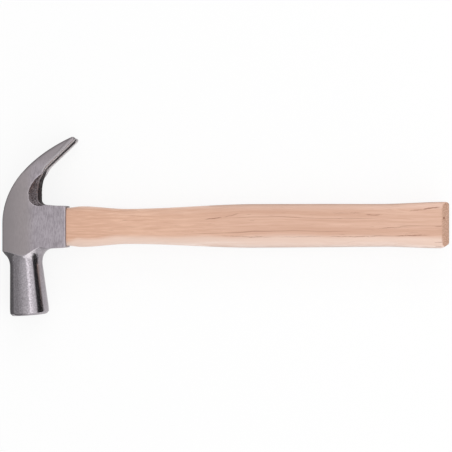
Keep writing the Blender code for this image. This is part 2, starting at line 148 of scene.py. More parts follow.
# Painted highlights: on the lower edge, stronger from one place to another along the handle, and along the
# top between two heights
LOWER_EDGE_HIGHLIGHT = (80.0 * MM, 130.0 * MM)
TOP_EDGE_HIGHLIGHT = (9.6 * MM, 11.8 * MM)
KNOT = Vector((249.4, 5.2, 0.0)) * MM
KNOT_FADE = (0.9 * MM, 0.3 * MM)

# Wood: how far its fibres bend slowly and quickly, and how far a growth mark wobbles
SLOW_BEND = 9.0 * MM
QUICK_BEND = 2.5 * MM
MARK_WOBBLE = 1.6 * MM

# Sapwood: heights between which it fades in, and their shifts in millimetres: from, to, before and after
SAPWOOD_FADE = (1.6 * MM, -1.9 * MM)
SAPWOOD_SHIFTS = ((27.0, 34.0, 2.5, 0.0), (40.0, 60.0, 2.3, 0.0), (105.0, 125.0, -0.9, 0.6))

# Wood: dark growth marks, each from one place to another on the upper side, its half width and how dark
GROWTH_MARKS = (
    ((107.5, 4.2), (119.5, 5.6), 0.45, 0.75),
    ((118.0, 5.3), (129.5, 8.0), 0.40, 0.45),
    ((115.0, -5.3), (150.0, -6.4), 0.35, 0.50),
    ((150.0, -6.2), (182.0, -5.4), 0.30, 0.40),
    ((180.0, 8.2), (204.0, 8.3), 0.35, 0.45),
    ((202.0, 7.1), (214.0, 7.1), 0.45, 0.85),
    ((228.0, 9.2), (238.5, 10.2), 0.45, 0.55),
    ((235.0, 10.0), (248.0, 11.6), 0.65, 0.85),
    ((208.5, -1.0), (231.0, -0.3), 0.35, 0.60),
    ((178.0, -6.0), (217.0, -5.6), 0.40, 0.60),
    ((219.0, -5.3), (242.5, -5.0), 0.40, 0.80),
    ((225.0, -4.2), (236.0, -3.2), 0.30, 0.30),
    ((243.5, 0.1), (248.5, 0.1), 0.30, 0.60),
    ((243.0, -9.4), (249.5, -9.3), 0.30, 0.60),
    ((243.5, -11.7), (249.0, -11.6), 0.30, 0.50),
    ((49.5, -2.3), (55.5, -2.2), 0.30, 0.35),
    ((59.0, 3.6), (63.0, 3.7), 0.30, 0.40),
    ((62.0, 6.6), (76.0, 6.2), 0.25, 0.30),
)

# Wedges and the cuts in the tenon that hold them
WEDGE_LENGTH = 17.0 * MM
WEDGE_THICKNESS = 3.4 * MM
WEDGE_TIP = 1.2 * MM
CROSS_LENGTH = 12.0 * MM
CROSS_WIDTH = 10.5 * MM
CROSS_THICKNESS = 2.2 * MM
CROSS_TIP = 0.8 * MM
CROSS_SPACING = 10.4 * MM
WEDGE_EDGE = 0.16 * MM

# Marks on the head: how near a surface each finish, painted shade or painted highlight reaches, and the
# stretches over which it changes
NEAR_HOLLOW = 0.6 * MM
NEAR_SLOT = 1.4 * MM
NEAR_POLL = 0.3 * MM
CHEEK_RIM = 0.3 * MM
THROAT_FADE = 3.0 * MM
LOWER_THROAT_DROP = 2.5 * MM
CROWN_FADE = 0.2 * MM
# The ridge's bright line, rubbed bright and with a painted highlight: its width, and how much it widens
# near the claw
RIDGE_WIDTH = 0.6 * MM
RIDGE_WIDENING = 0.8 * MM
FACET_FADE = (0.5 * MM, 0.2 * MM)
WALL_FADE = 0.5 * MM
WALL_START = (-5.0 * MM, -3.0 * MM)
RIM_FADE = 0.15 * MM
RIM_START = (2.0 * MM, 5.0 * MM)
CREASE_FADE = (0.45 * MM, 0.15 * MM)
CREASE_START = (0.4, 0.7)
# Painted highlight on the flare: its fade towards the face, where it brightens and where it dulls
FLARE_FADE = 2.8 * MM
FLARE_BRIGHT = (1.5 * MM, 4.0 * MM)
FLARE_DULL = (7.5 * MM, 9.0 * MM)
FULL_EDGE_BEND = 0.22

# How far a surface faces a way, from 0 to 1, between where a mark starts and where it is full
FACET_FACING = (0.75, 0.9)
WALL_FACING = (0.3, 0.6)
END_GRAIN_FACING = (0.25, 0.5)
LOWER_EDGE_FACING = (0.35, 0.85)

# Stretches beside the throat's bend, measured from it towards the claw
CROWN_WIDENS = (-8.0 * MM, 1.0 * MM)
STRIP_WIDENS = (-4.0 * MM, 3.0 * MM)
RIDGE_WIDENS = (-6.0 * MM, 0.0)
# Where the ridge's painted highlight brightens
RIDGE_BRIGHTENS = (-7.0 * MM, -1.0 * MM)
CLAW_EASED = (0.0, 2.0 * MM)

# Pits in the throat, and where they end towards the socket's mouth
COARSE_PIT = 1.5 * MM
FINE_PIT = 0.7 * MM
PIT_DEPTH = 0.16 * MM
PIT_LEVEL = 0.75
PITS_END = (18.0 * MM, 14.0 * MM)

# Steel: stretches along and across the head over which its colour changes
TOWARDS_SOCKET = (2.0 * MM, 9.0 * MM)
# Painted shade: the cheeks darken over this stretch towards the back
TOWARDS_BACK = (4.0 * MM, -12.0 * MM)
TOWARDS_TIP = (28.0 * MM, 44.0 * MM)
# Painted shade: the prongs' facets darken over this stretch towards the tip
FACET_DARKENS = (24.0 * MM, 36.0 * MM)
MOUTH_WEAR = (SOCKET_REACH - 1.0 * MM, SOCKET_REACH - 0.4 * MM)

# Fineness of the surfaces, and allowances for cutting and joining them
TURNED_STEPS = 220
CURVE_STEPS = 60
RING_POINTS = 120
CROWN_LAYERS = 10
SCOOP_LAYERS = 16
SCOOP_CROWDING = 1.5
ROUND_OFF = 1e-5
HEAD_GRAIN = 0.385 * MM
HEAD_SOFTENING = 4
CLAW_SOFTENING = 14
MARGIN = 4.0 * MM
OVERCUT = 1.0 * MM
WELD = 0.001 * MM
SEAM = 0.03 * MM

# Camera: straight above, as far off as the photograph's perspective says
PICTURE_PIXELS = 452
PIXEL_SIZE = 0.597 * MM
CAMERA_OVER = Vector((120.77, 0.42)) * MM
CAMERA_HEIGHT = 832.0 * MM
SENSOR = 36.0

# Studio: the floor, in metres, and the sky's light overhead and at the horizon
FLOOR_HALF_WIDTH = 6.0
FLOOR_TONE = 0.95
FLOOR_SEEN = 0.85
FLOOR_MIRRORED = 0.25
SKY_OVERHEAD = 0.52
SKY_HORIZON = 0.41
SKY_FALL_OFF = 3.0

# Studio, in metres: name, place, the point that it faces, size, and a lamp's power or a flag's tone
LAMPS = (
    ("top_panel", (0.34, -0.075, 1.15), (0.34, -0.075, 0.0), (0.36, 1.55), 1.67),
    ("side_panel", (1.20, -0.025, 1.15), (1.20, -0.025, 0.0), (1.36, 1.45), 3.4),
    ("key_panel", (0.60, -1.0, 0.55), (0.30, 0.0, 0.0), (1.5, 1.1), 4.8),
    ("back_panel", (0.30, 1.0, 0.70), (0.12, 0.0, 0.0), (1.2, 0.5), 3.8),
)
FLAGS = (
    ("right_flag", (0.86, -0.175, 0.315), (0.0, -0.175, 0.315), (1.25, 0.63), 0.02),
    ("right_flag_end", (0.86, -0.975, 0.15), (0.0, -0.975, 0.15), (0.35, 0.30), 0.15),
    ("low_flag", (0.485, 0.15, 0.001), (0.485, 0.15, -1.0), (0.75, 0.60), 0.03),
    ("left_flag", (-0.25, 0.0, 0.001), (-0.25, 0.0, -1.0), (0.34, 0.6), 0.30),
    ("near_flag", (-0.05, 0.0, 0.001), (-0.05, 0.0, -1.0), (0.06, 0.6), 0.18),
    ("corner_flag", (-0.013, -0.035, 0.001), (-0.013, -0.035, -1.0), (0.014, 0.05), 0.24),
    ("pale_flag", (0.065, -0.02, 0.001), (0.065, -0.02, -1.0), (0.09, 0.20), 0.92),
)


class Web:
    """A node tree, with a short way to add a node and feed it."""

    def __init__(self, tree):
        self.tree = tree

    def add(self, kind, feeds=None, out=0, **settings):
        """Adds a node and gives back one of its outputs. Feeds are sockets or plain values by input."""
        node = self.tree.nodes.new(kind)
        for name, value in settings.items():
            setattr(node, name, value)
        for place, feed in (feeds or {}).items():
            if isinstance(feed, bpy.types.NodeSocket):
                self.tree.links.new(feed, node.inputs[place])
            else:
                node.inputs[place].default_value = feed
        return node.outputs[out]

    def sum(self, operation, *feeds):
        """One step of arithmetic."""
        return self.add("ShaderNodeMath", dict(enumerate(feeds)), operation=operation)

    def times(self, first, second):
        """A product."""
        return self.sum("MULTIPLY", first, second)

    def rise(self, value, low, high, start=0.0, end=1.0, smooth=True):
        """A value that goes from start to end while another goes from low to high."""
        feeds = {0: value, 1: low, 2: high, 3: start, 4: end}
        kind = "SMOOTHSTEP" if smooth else "LINEAR"
        return self.add("ShaderNodeMapRange", feeds, interpolation_type=kind)


class Finish(Web):
    """A procedural material on Object coordinates."""

    def __init__(self, name, **constants):
        self.material = bpy.data.materials.new(name)
        self.material.use_nodes = True
        super().__init__(self.material.node_tree)
        self.shader = self.tree.nodes["Principled BSDF"]
        for socket, value in constants.items():
            self.shader.inputs[socket.replace("_", " ")].default_value = value
        self.place = self.add("ShaderNodeTexCoord", out="Object")

    def set(self, socket, feed):
        """Feeds one of the shader's sockets."""
        self.tree.links.new(feed, self.shader.inputs[socket])

    def speckle(self, scale, detail, roughness=0.5, vector=None):
        """Noise, even in all directions."""
        place = self.place if vector is None else vector
        feeds = {"Vector": place, "Scale": scale, "Detail": detail, "Roughness": roughness}
        return self.add("ShaderNodeTexNoise", feeds)

    def grain(self, scale, detail, roughness=0.5, turn=(0, 0, 0), shift=(0, 0, 0)):
        """Noise with its own scale along each axis."""
        feeds = {"Vector": self.place, "Scale": scale, "Rotation": turn, "Location": shift}
        return self.speckle(1.0, detail, roughness, self.add("ShaderNodeMapping", feeds))

    def blend(self, share, first, second):
        """Two colours or values mixed, with a share of the second."""
        feeds = {0: share, 6: first, 7: second}
        return self.add("ShaderNodeMix", feeds, out=2, data_type="RGBA")

    def tint(self, colour, shade, share, value, low, high):
        """A colour that takes a share of a shade while a value goes from low to high."""
        return self.blend(self.rise(value, low, high, 0.0, share), colour, shade)

    def mark(self, name):
        """A share that is stored on the piece's surface."""
        return self.add("ShaderNodeAttribute", out="Fac", attribute_name=name)

    def relief(self, height, strength, depth, under=None):
        """A fine relief, on another one where that is given."""
        feeds = {"Height": height, "Strength": strength, "Distance": depth}
        if under is not None:
            feeds["Normal"] = under
        return self.add("ShaderNodeBump", feeds)


def rgb(red, green, blue):
    """A colour as it looks on a screen, from 0 to 255, as the shader wants it."""
    return tuple((c / 255) ** 2.2 for c in (red, green, blue)) + (1.0,)


def linked(name, data):
    """A new object in the scene."""
    obj = bpy.data.objects.new(name, data)
    bpy.context.scene.collection.objects.link(obj)
    return obj


def solid(bm, name):
    """An object from a bmesh."""
    mesh = bpy.data.meshes.new(name)
    bm.to_mesh(mesh)
    bm.free()
    return linked(name, mesh)


def made(bm, name):
    """An object from a bmesh about the mid-plane, lifted to where the hammer lies."""
    bmesh.ops.recalc_face_normals(bm, faces=bm.faces)
    bmesh.ops.translate(bm, verts=bm.verts, vec=(0, 0, MID_PLANE))
    return solid(bm, name)


def plain(obj):
    """Makes what the modifiers give the object's own mesh."""
    graph = bpy.context.evaluated_depsgraph_get()
    mesh = bpy.data.meshes.new_from_object(obj.evaluated_get(graph))
    obj.modifiers.clear()
    obj.data = mesh
    return obj


def boolean(piece, tool, operation):
    """Adds a modifier that joins a shape to a piece or cuts it out, and gives the shape back."""
    modifier = piece.modifiers.new(operation.lower(), "BOOLEAN")
    modifier.operation = operation
    modifier.solver = "EXACT"
    modifier.object = tool
    return tool


def worked(piece, joins, cuts):
    """A piece with some shapes joined to it and then others cut out of it."""
    tools = [boolean(piece, tool, "UNION") for tool in joins]
    tools += [boolean(piece, tool, "DIFFERENCE") for tool in cuts]
    plain(piece)
    for tool in tools:
        bpy.data.objects.remove(tool)
    return piece


def bezier(start, start_pull, end_pull, end, steps):
    """Points on a curve that leaves its start towards one pull and reaches its end from the other."""
    points = []
    for step in range(steps + 1):
        t = step / steps
        s = 1 - t
        points.append(s**3 * start + 3 * s * s * t * start_pull + 3 * s * t * t * end_pull + t**3 * end)
    return points


def arc(centre, radius, start, end, steps):
    """Points on a circle from one angle to another."""
    angles = [start + (end - start) * step / steps for step in range(steps + 1)]
    return [centre + radius * Vector((math.cos(a), math.sin(a))) for a in angles]


def extruded(outline, low, high):
    """An outline made into a solid between two levels."""
    bm = bmesh.new()
    face = bm.faces.new([bm.verts.new((point[0], point[1], low)) for point in outline])
    grown = bmesh.ops.extrude_face_region(bm, geom=[face])["geom"]
    moved = [item for item in grown if isinstance(item, bmesh.types.BMVert)]
    bmesh.ops.translate(bm, verts=moved, vec=(0, 0, high - low))
    return bm


def skinned(rings):
    """Rings of equally many points made into one solid, with flat ends."""
    bm = bmesh.new()
    loops = [[bm.verts.new(point) for point in ring] for ring in rings]
    count = len(rings[0])
    for before, after in zip(loops, loops[1:]):
        for i in range(count):
            j = (i + 1) % count
            bm.faces.new((before[i], before[j], after[j], after[i]))
    bm.faces.new(loops[0])
    bm.faces.new(loops[-1])
    return bm


def block(x_range, y_range, z_range):
    """A plain block for a cut."""
    (left, right), (front, back) = x_range, y_range
    return extruded(((left, front), (right, front), (right, back), (left, back)), *z_range)


def tapered_block(x_range, heights, thicknesses, centre=0.0):
    """A block whose height and thickness change from one end to the other."""
    rings = []
    for x, height, thickness in zip(x_range, heights, thicknesses):
        y, z = height / 2, thickness / 2
        rings.append([(x, centre + a * y, b * z) for a, b in ((-1, -1), (1, -1), (1, 1), (-1, 1))])
    return skinned(rings)


def underside():
    """Direction along the claw's straight underside, the normal into the claw, a point below the tip."""
    along = Vector((math.cos(UNDERSIDE_ANGLE), math.sin(UNDERSIDE_ANGLE)))
    inward = Vector((-along.y, along.x))
    return along, inward, TIP - TIP_UNDERCUT * inward


def throat_corner():
    """Where the claw's underside would meet the throat if nothing rounded the bend between them."""
    along, _, below_tip = underside()
    return below_tip - along * ((below_tip.x - THROAT_X) / along.x)


def beside_bend(stretch):
    """A stretch beside the throat's bend, as heights."""
    return [throat_corner().y + offset for offset in stretch]


def blank():
    """The forging in side view, with no poll and before its hollow is cut."""
    back_along = Vector((math.cos(BACK_ANGLE), math.sin(BACK_ANGLE)))
    back_end = TIP + TIP_RADIUS * Vector((-back_along.y, back_along.x))
    back_start = Vector((-HEAD_BACK, BACK_START))
    mouth, root = SOCKET_MOUTH_HEIGHT / 2, SOCKET_ROOT_HEIGHT / 2
    outline = [Vector((SOCKET_ROOT, -root)), Vector((SOCKET_REACH, -mouth))]
    outline += [Vector((SOCKET_REACH, mouth + OVERCUT))]
    tip_turn = (UNDERSIDE_ANGLE - math.pi / 2, BACK_ANGLE + math.pi / 2)
    outline += arc(TIP, TIP_RADIUS, *tip_turn, CURVE_STEPS // 4)
    pulls = (back_end - back_along * BACK_SWEEP, back_start + Vector((0, BACK_RISE)))
    outline += bezier(back_end, *pulls, back_start, CURVE_STEPS)[1:]
    neck = -NECK_DIAMETER / 2
    for x, y in ((-HEAD_BACK - OVERCUT, BACK_START), (-HEAD_BACK - OVERCUT, neck), (0, neck)):
        outline.append(Vector((x, y)))
    deep = HEAD_WIDTH / 2 + OVERCUT
    return made(extruded(outline, -deep, deep), "head")


def poll():
    """The turned poll and its flare."""
    face, neck = FACE_DIAMETER / 2, NECK_DIAMETER / 2
    rim = POLL_LENGTH - FACE_CHAMFER
    waist = Vector((NECK_DISTANCE, neck))
    top = Vector((NECK_DISTANCE - FLARE_LENGTH, neck + FLARE_WIDTH))
    pulls = (
        Vector((NECK_DISTANCE - FLARE_EASE * FLARE_LENGTH, neck)),
        Vector((top.x, top.y - FLARE_TURN * FLARE_WIDTH)),
    )
    profile = [(POLL_LENGTH, 0), (POLL_LENGTH, face - FACE_CHAMFER), (rim, face), (rim - FACE_LAND, face)]
    profile += bezier(waist, *pulls, top, CURVE_STEPS)
    profile += [(0, top.y), (0, 0)]
    axis = Vector((math.sin(POLL_LEAN), -math.cos(POLL_LEAN), 0))
    across = Vector((-axis.y, axis.x, 0))
    bm = bmesh.new()
    chain = [bm.verts.new(axis * point[0] + across * point[1]) for point in profile]
    edges = [bm.edges.new(pair) for pair in zip(chain, chain[1:])]
    turn = 2 * math.pi
    bmesh.ops.spin(bm, geom=chain + edges, cent=(0, 0, 0), axis=axis, angle=turn, steps=TURNED_STEPS)
    bmesh.ops.remove_doubles(bm, verts=bm.verts, dist=WELD)
    for vertex in bm.verts:
        x, y, z = vertex.co
        on_flare = between(-y, NECK_DISTANCE, NECK_DISTANCE - FLARE_LENGTH / 2)
        on_cheek = between(abs(z), neck - CHEEK_LEAN_ROOM, neck)
        vertex.co.y += CHEEK_LEAN * max(0, x - CHEEK_LEAN_FROM) * on_flare * on_cheek
    return made(bm, "poll")


def eye():
    """The hole for the tenon, longer than the head."""
    (back, *back_size), (mouth, *mouth_size) = EYE_SECTIONS[0], EYE_SECTIONS[-1]
    longer = MARGIN / MM
    sections = [(back - longer, *back_size), *EYE_SECTIONS, (mouth + longer, *mouth_size)]
    rings = []
    for x, height, width in sections:
        ring = []
        for i in range(RING_POINTS):
            angle = 2 * math.pi * i / RING_POINTS
            sides = (math.cos(angle), math.sin(angle))
            y, z = (math.copysign(abs(side) ** (2 / EYE_SQUARENESS), side) for side in sides)
            ring.append(Vector((x, y * height / 2, z * width / 2)) * MM)
        rings.append(ring)
    return made(skinned(rings), "eye")


def hollow_curve():
    """The claw's underside, the throat and the socket's top as one curve, and each point's way along
    the throat, from 0 to 1."""
    along, _, below_tip = underside()
    corner = throat_corner()
    high = corner + along * THROAT_BEND_ABOVE
    low = corner - Vector((0, THROAT_BEND_BELOW))
    throat = bezier(high, high.lerp(corner, BEND_PULL), low.lerp(corner, BEND_PULL), low, CURVE_STEPS)
    centre = Vector((THROAT_X, SOCKET_ROOT_HEIGHT / 2)) + THROAT_FILLET * Vector((1, 1))
    throat += arc(centre, THROAT_FILLET, math.pi, 3 * math.pi / 2, CURVE_STEPS // 2)
    mouth = Vector((SOCKET_REACH, SOCKET_MOUTH_HEIGHT / 2))
    runs = np.cumsum([0.0] + [(b - a).length for a, b in zip(throat, throat[1:])])
    start = below_tip + along * 2 * MARGIN
    sag = throat[-1].lerp(mouth, (SOCKET_SAG.x - throat[-1].x) / (mouth.x - throat[-1].x))
    sag.y -= SOCKET_SAG.y
    end = mouth + (mouth - sag).normalized() * 2 * MARGIN
    return [start] + throat + [sag, end], [0.0, *(runs / runs[-1]), 1.0, 1.0]


def crown_half_width(y):
    """Half the width of the throat's crown: its ridges run out into the prongs' lower edges."""
    widest = HEAD_WIDTH / 2 - RIDGE_RUN_OUT
    return CROWN_HALF_WIDTH + (widest - CROWN_HALF_WIDTH) * between(y, *beside_bend(CROWN_WIDENS))


def scoop_depth(height, crown):
    """How far the throat steps back at a height from the mid-plane: a crown, then a hollow to the cheek."""
    if height <= crown:
        return CROWN_DROP * (height / crown) ** 2
    share = min(1.0, (height - crown) / (HEAD_WIDTH / 2 - crown))
    return CROWN_DROP + (SCOOP_DEPTH - CROWN_DROP) * math.sin(share * math.pi / 2)


def scoop_reach(share):
    """How much of its depth the scoop has on the way down the throat: a long run in and a short run out."""
    if share < SCOOP_DEEPEST:
        run_in = max(0.0, (share - SCOOP_START) / (SCOOP_DEEPEST - SCOOP_START))
        return math.sin(run_in * math.pi / 2)
    return math.cos((share - SCOOP_DEEPEST) / (1 - SCOOP_DEEPEST) * math.pi / 2) ** 2


def claw_hollow():
    """The space under the claw, in layers from one cheek to the other."""
    curve, shares = hollow_curve()
    normals = [Vector((0, 0))]
    for before, after in zip(curve, curve[2:]):
        run = (after - before).normalized()
        normals.append(Vector((run.y, -run.x)))
    normals.append(Vector((0, 0)))
    room = HEAD_WIDTH / 2 - CROWN_HALF_WIDTH
    upper = [CROWN_HALF_WIDTH * step / CROWN_LAYERS for step in range(CROWN_LAYERS + 1)]
    steps = [(step / SCOOP_LAYERS) ** SCOOP_CROWDING for step in range(1, SCOOP_LAYERS + 1)]
    upper += [CROWN_HALF_WIDTH + room * step for step in steps] + [HEAD_WIDTH / 2 + 2 * OVERCUT]
    rings = []
    for height in [-height for height in reversed(upper[1:])] + upper:
        ring = []
        for point, normal, share in zip(curve, normals, shares):
            depth = scoop_depth(abs(height), crown_half_width(point.y))
            place = point + normal * depth * scoop_reach(share)
            ring.append((place.x, place.y, height))
        rings.append(ring)
    return made(skinned(rings), "claw_hollow")


def nail_slot():
    """The V between the prongs: planes that spread towards the tip and a little towards the underside."""
    run = (TIP - SLOT_ROOT).to_3d()
    along = run.normalized()
    outward = Vector((-along.y, along.x, 0))
    through = SLOT_NARROWING * SLOT_ROOT_WIDTH / 2 / math.tan(SLOT_DRAFT)
    rings = []
    for distance in (0, run.length + MARGIN):
        ring = []
        for out, side in ((-through, -1), (through, -1), (through, 1), (-through, 1)):
            half = SLOT_ROOT_WIDTH / 2 + distance * math.tan(SLOT_SPREAD) - out * math.tan(SLOT_DRAFT)
            ring.append(SLOT_ROOT.to_3d() + along * distance + outward * out + Vector((0, 0, side * half)))
        rings.append(ring)
    return made(skinned(rings), "nail_slot")


def prong_bevel(side):
    """A slanting cut along one prong's lower edge, wider towards the tip, run out in the throat's bend."""
    along, _, below_tip = underside()
    corner, up = throat_corner(), Vector((0, 0, side))
    curve, shares = hollow_curve()
    curve[0] = below_tip + along * MARGIN
    widening = (BEVEL_TIP_WIDTH - BEVEL_ROOT_WIDTH) / (curve[0] - corner).length
    rings = []
    for before, place, after, share in zip([curve[0], *curve], curve, curve[1:], shares):
        left = 1 - share / SCOOP_START
        if left < BEVEL_LEAST:
            break
        run = (after - before).normalized()
        into = Vector((run.y, -run.x, 0))
        width = (BEVEL_ROOT_WIDTH + widening * (place - corner).dot(along)) * left
        depth = BEVEL_DEPTH * left
        edge = place.to_3d() + up * HEAD_WIDTH / 2
        foot = edge - up * depth
        slant = into * width + up * depth
        rings.append([foot - slant, foot + 2 * slant, edge + (up - into) * 2 * depth])
    return made(skinned(rings), "prong_bevel")


def socket_chamfer(up, out):
    """A narrow chamfer along one of the socket's four long edges."""
    heights = ((SOCKET_ROOT, SOCKET_ROOT_HEIGHT), (SOCKET_REACH + OVERCUT, SOCKET_MOUTH_HEIGHT))
    rings = []
    for x, height in heights:
        edge = Vector((x, up * height / 2, out * HEAD_WIDTH / 2))
        inward, back = Vector((0, -up, 0)) * SOCKET_CHAMFER, Vector((0, 0, -out)) * SOCKET_CHAMFER
        rings.append([edge + 2 * inward - back, edge + 2 * back - inward, edge - inward - back])
    return made(skinned(rings), "socket_chamfer")


def grinding_cuts():
    """What the grinding takes off: both cheeks, the back and the socket's long edges."""
    half, far = HEAD_WIDTH / 2, (TIP.x + TIP_RADIUS) * 2
    cuts = []
    for side in (-1, 1):
        depth = sorted((side * half, side * (FACE_DIAMETER + FLARE_WIDTH)))
        cuts.append(made(block((-far, far), (-NECK_DISTANCE, TIP.y + far), depth), "cheek_cut"))
        cuts += [socket_chamfer(up, side) for up in (-1, 1)]
    cuts.append(made(block((-far, -HEAD_BACK), (-NECK_DISTANCE, TIP.y), (-far, far)), "back_cut"))
    return cuts


def surface_of(obj):
    """An object's surface, for finding what lies near it."""
    return BVHTree.FromObject(obj, bpy.context.evaluated_depsgraph_get())


def coordinates(mesh):
    """Each point's place."""
    places = np.empty(len(mesh.vertices) * 3)
    mesh.vertices.foreach_get("co", places)
    return places.reshape(-1, 3)


def directions(mesh):
    """The way that the surface faces at each point."""
    normals = np.empty(len(mesh.vertices) * 3)
    mesh.vertex_normals.foreach_get("vector", normals)
    return normals.reshape(-1, 3)


def ends_of_edges(mesh):
    """Each edge's first point and its second one."""
    ends = np.empty(len(mesh.edges) * 2, int)
    mesh.edges.foreach_get("vertices", ends)
    return ends.reshape(-1, 2).T


def spread(values, ends, steps):
    """Values at points, evened out with their neighbours' a few times."""
    first, second = ends
    count = np.bincount(ends.ravel(), minlength=len(values))
    for _ in range(steps):
        around = np.bincount(first, values[second], len(values))
        around += np.bincount(second, values[first], len(values))
        values = (values + around / count) / 2
    return values


def edge_sharpness(mesh):
    """From 0 on flat and hollow places to 1 on sharp outer edges, which bend by the full amount or more."""
    places, normals, ends = coordinates(mesh), directions(mesh), ends_of_edges(mesh)
    first, second = ends
    run = places[second] - places[first]
    length = np.linalg.norm(run, axis=1)
    bend = np.zeros(len(places))
    np.add.at(bend, first, -(run * normals[first]).sum(1) / length)
    np.add.at(bend, second, (run * normals[second]).sum(1) / length)
    count = np.bincount(ends.ravel(), minlength=len(places))
    return np.clip(spread(bend / count, ends, 2) / FULL_EDGE_BEND, 0, 1)


def near(places, tree, reach):
    """1 up to half a reach from a surface, falling to 0 at the whole reach."""
    gaps = np.array([tree.find_nearest(place)[3] for place in places])
    return np.clip(2 - 2 * gaps / reach, 0, 1)


def store(mesh, name, values):
    """Keeps a value at each point for the finish to read."""
    attribute = mesh.attributes.new(name, "FLOAT", "POINT")
    attribute.data.foreach_set("value", values.astype(np.float32))


def forged_grain(places):
    """Depth of the pits that the forging leaves in the throat."""
    depths = []
    for place in places:
        point = Vector(place)
        coarse = noise.noise(point / COARSE_PIT)
        fine = noise.noise(point / FINE_PIT + Vector((7, 3, 1)))
        depths.append(0.6 * coarse + 0.4 * fine)
    return (np.array(depths) - PIT_LEVEL) * PIT_DEPTH


def soften(head):
    """Gives the head an even, fine surface and takes the sharpness off its edges."""
    remesh = head.modifiers.new("even surface", "REMESH")
    remesh.mode = "VOXEL"
    remesh.voxel_size = HEAD_GRAIN
    smooth = head.modifiers.new("softened edges", "SMOOTH")
    smooth.iterations = HEAD_SOFTENING
    plain(head).data.shade_smooth()


def between(values, low, high):
    """0 up to one value, 1 from the other on."""
    return np.clip((values - low) / (high - low), 0, 1)


def ease(mesh, share, steps):
    """Evens the surface out a little more where a share says so."""
    places, ends = coordinates(mesh), ends_of_edges(mesh)
    for _ in range(steps):
        evened = np.stack([spread(axis, ends, 1) for axis in places.T], axis=1)
        places += (evened - places) * share[:, None]
    mesh.vertices.foreach_set("co", places.ravel())
    mesh.update()


def pit(mesh, share):
    """Gives the forged surface its pits."""
    places = coordinates(mesh)
    rough = np.flatnonzero(share > 0)
    depth = forged_grain(places[rough]) * share[rough]
    places[rough] += directions(mesh)[rough] * depth[:, None]
    mesh.vertices.foreach_set("co", places.ravel())
    mesh.update()


def ridge_height(y):
    """How far from the mid-plane the bright ridge lies, rubbed bright with a painted highlight, that runs
    from a prong's lower edge to the crown.
    """
    wider = BRIGHT_EDGE - RIDGE_RUN_OUT - BRIGHT_RIDGE
    strip = BRIGHT_RIDGE + wider * between(y, *beside_bend(STRIP_WIDENS))
    return crown_half_width(y) - strip


def claw_marks(mesh, claw):
    """Marks the prongs' facets and creases and the wall under the upper prong, for painted shade, and the
    slot's rims, for painted highlights.
    """
    along, inward, below_tip = (np.array(part) for part in underside())
    places, normals = coordinates(mesh), directions(mesh)
    spots, z = places[:, :2], places[:, 2] - MID_PLANE
    corner = np.array(throat_corner())
    length = np.linalg.norm(below_tip - corner)
    run = (spots - corner) @ along
    depth = (spots - below_tip) @ inward
    width = BEVEL_ROOT_WIDTH + (BEVEL_TIP_WIDTH - BEVEL_ROOT_WIDTH) * run / (length + MARGIN)
    facet_level = HEAD_WIDTH / 2 - BEVEL_DEPTH
    on_cheek = between(np.abs(z), facet_level - CHEEK_RIM, facet_level)
    on_cheek *= between(np.abs(normals[:, 2]), *FACET_FACING) * claw
    facet = between(depth - width, *FACET_FADE) * on_cheek
    store(mesh, "facet", facet * between(length - run, *BEVEL_RUN_OUT))
    # Crease beside each facet, for painted shade
    crease = between(np.abs(depth - width), *CREASE_FADE) * on_cheek
    store(mesh, "crease", crease * between(run / length, *CREASE_START))
    # The wall under the upper prong only, for painted shade
    wall = between(-normals[:, :2] @ inward, *WALL_FACING) * (z > 0)
    wall *= between(z - ridge_height(spots[:, 1]), WALL_FADE, -WALL_FADE)
    store(mesh, "wall", wall * between(run, *WALL_START))
    # The slot's rims, for painted highlights
    from_end = TIP_RADIUS - np.linalg.norm(spots - np.array(TIP), axis=1)
    edge = np.where(spots[:, 0] > TIP.x, np.minimum(depth, from_end - BRIGHT_TIP), depth)
    rim = between(edge - BRIGHT_RIM, RIM_FADE, -RIM_FADE)
    store(mesh, "rim", rim * between(run, *RIM_START))


def throat_marks(mesh, places, hollow, slot):
    """Marks the slot, for painted shade, the claw, and its underside, for a painted reflection. Gives back
    where the claw is, and the rough forging.
    """
    y, z = places[:, 1], places[:, 2] - MID_PLANE
    below_cheek = between(np.abs(z), HEAD_WIDTH / 2, HEAD_WIDTH / 2 - CHEEK_RIM)
    start = throat_corner().y - LOWER_THROAT_DROP * (z < 0)
    in_throat = between(y, start + THROAT_FADE, start)
    on_hollow = near(places, hollow, NEAR_HOLLOW)
    in_slot = near(places, slot, NEAR_SLOT) * (y > SLOT_ROOT.y - MARGIN)
    # Inside the slot, for painted shade; the slot also counts as rough forging
    store(mesh, "slot", in_slot * below_cheek)
    store(mesh, "claw", 1 - in_throat)
    # The claw's underside, for a painted reflection
    store(mesh, "underside", on_hollow * (1 - in_throat))
    return 1 - in_throat, np.maximum(on_hollow * in_throat, in_slot) * below_cheek


def crown_marks(mesh, places):
    """Marks the throat's dark crown and the bright ridges along it, rubbed bright and with a painted
    highlight, which are wider near the claw.
    """
    y, z = places[:, 1], places[:, 2] - MID_PLANE
    off_crown = np.abs(z) - ridge_height(y)
    store(mesh, "crown", between(off_crown, CROWN_FADE, -CROWN_FADE))
    width = RIDGE_WIDTH + RIDGE_WIDENING * between(y, *beside_bend(RIDGE_WIDENS))
    store(mesh, "ridge", between(np.abs(off_crown), width, width / 3))


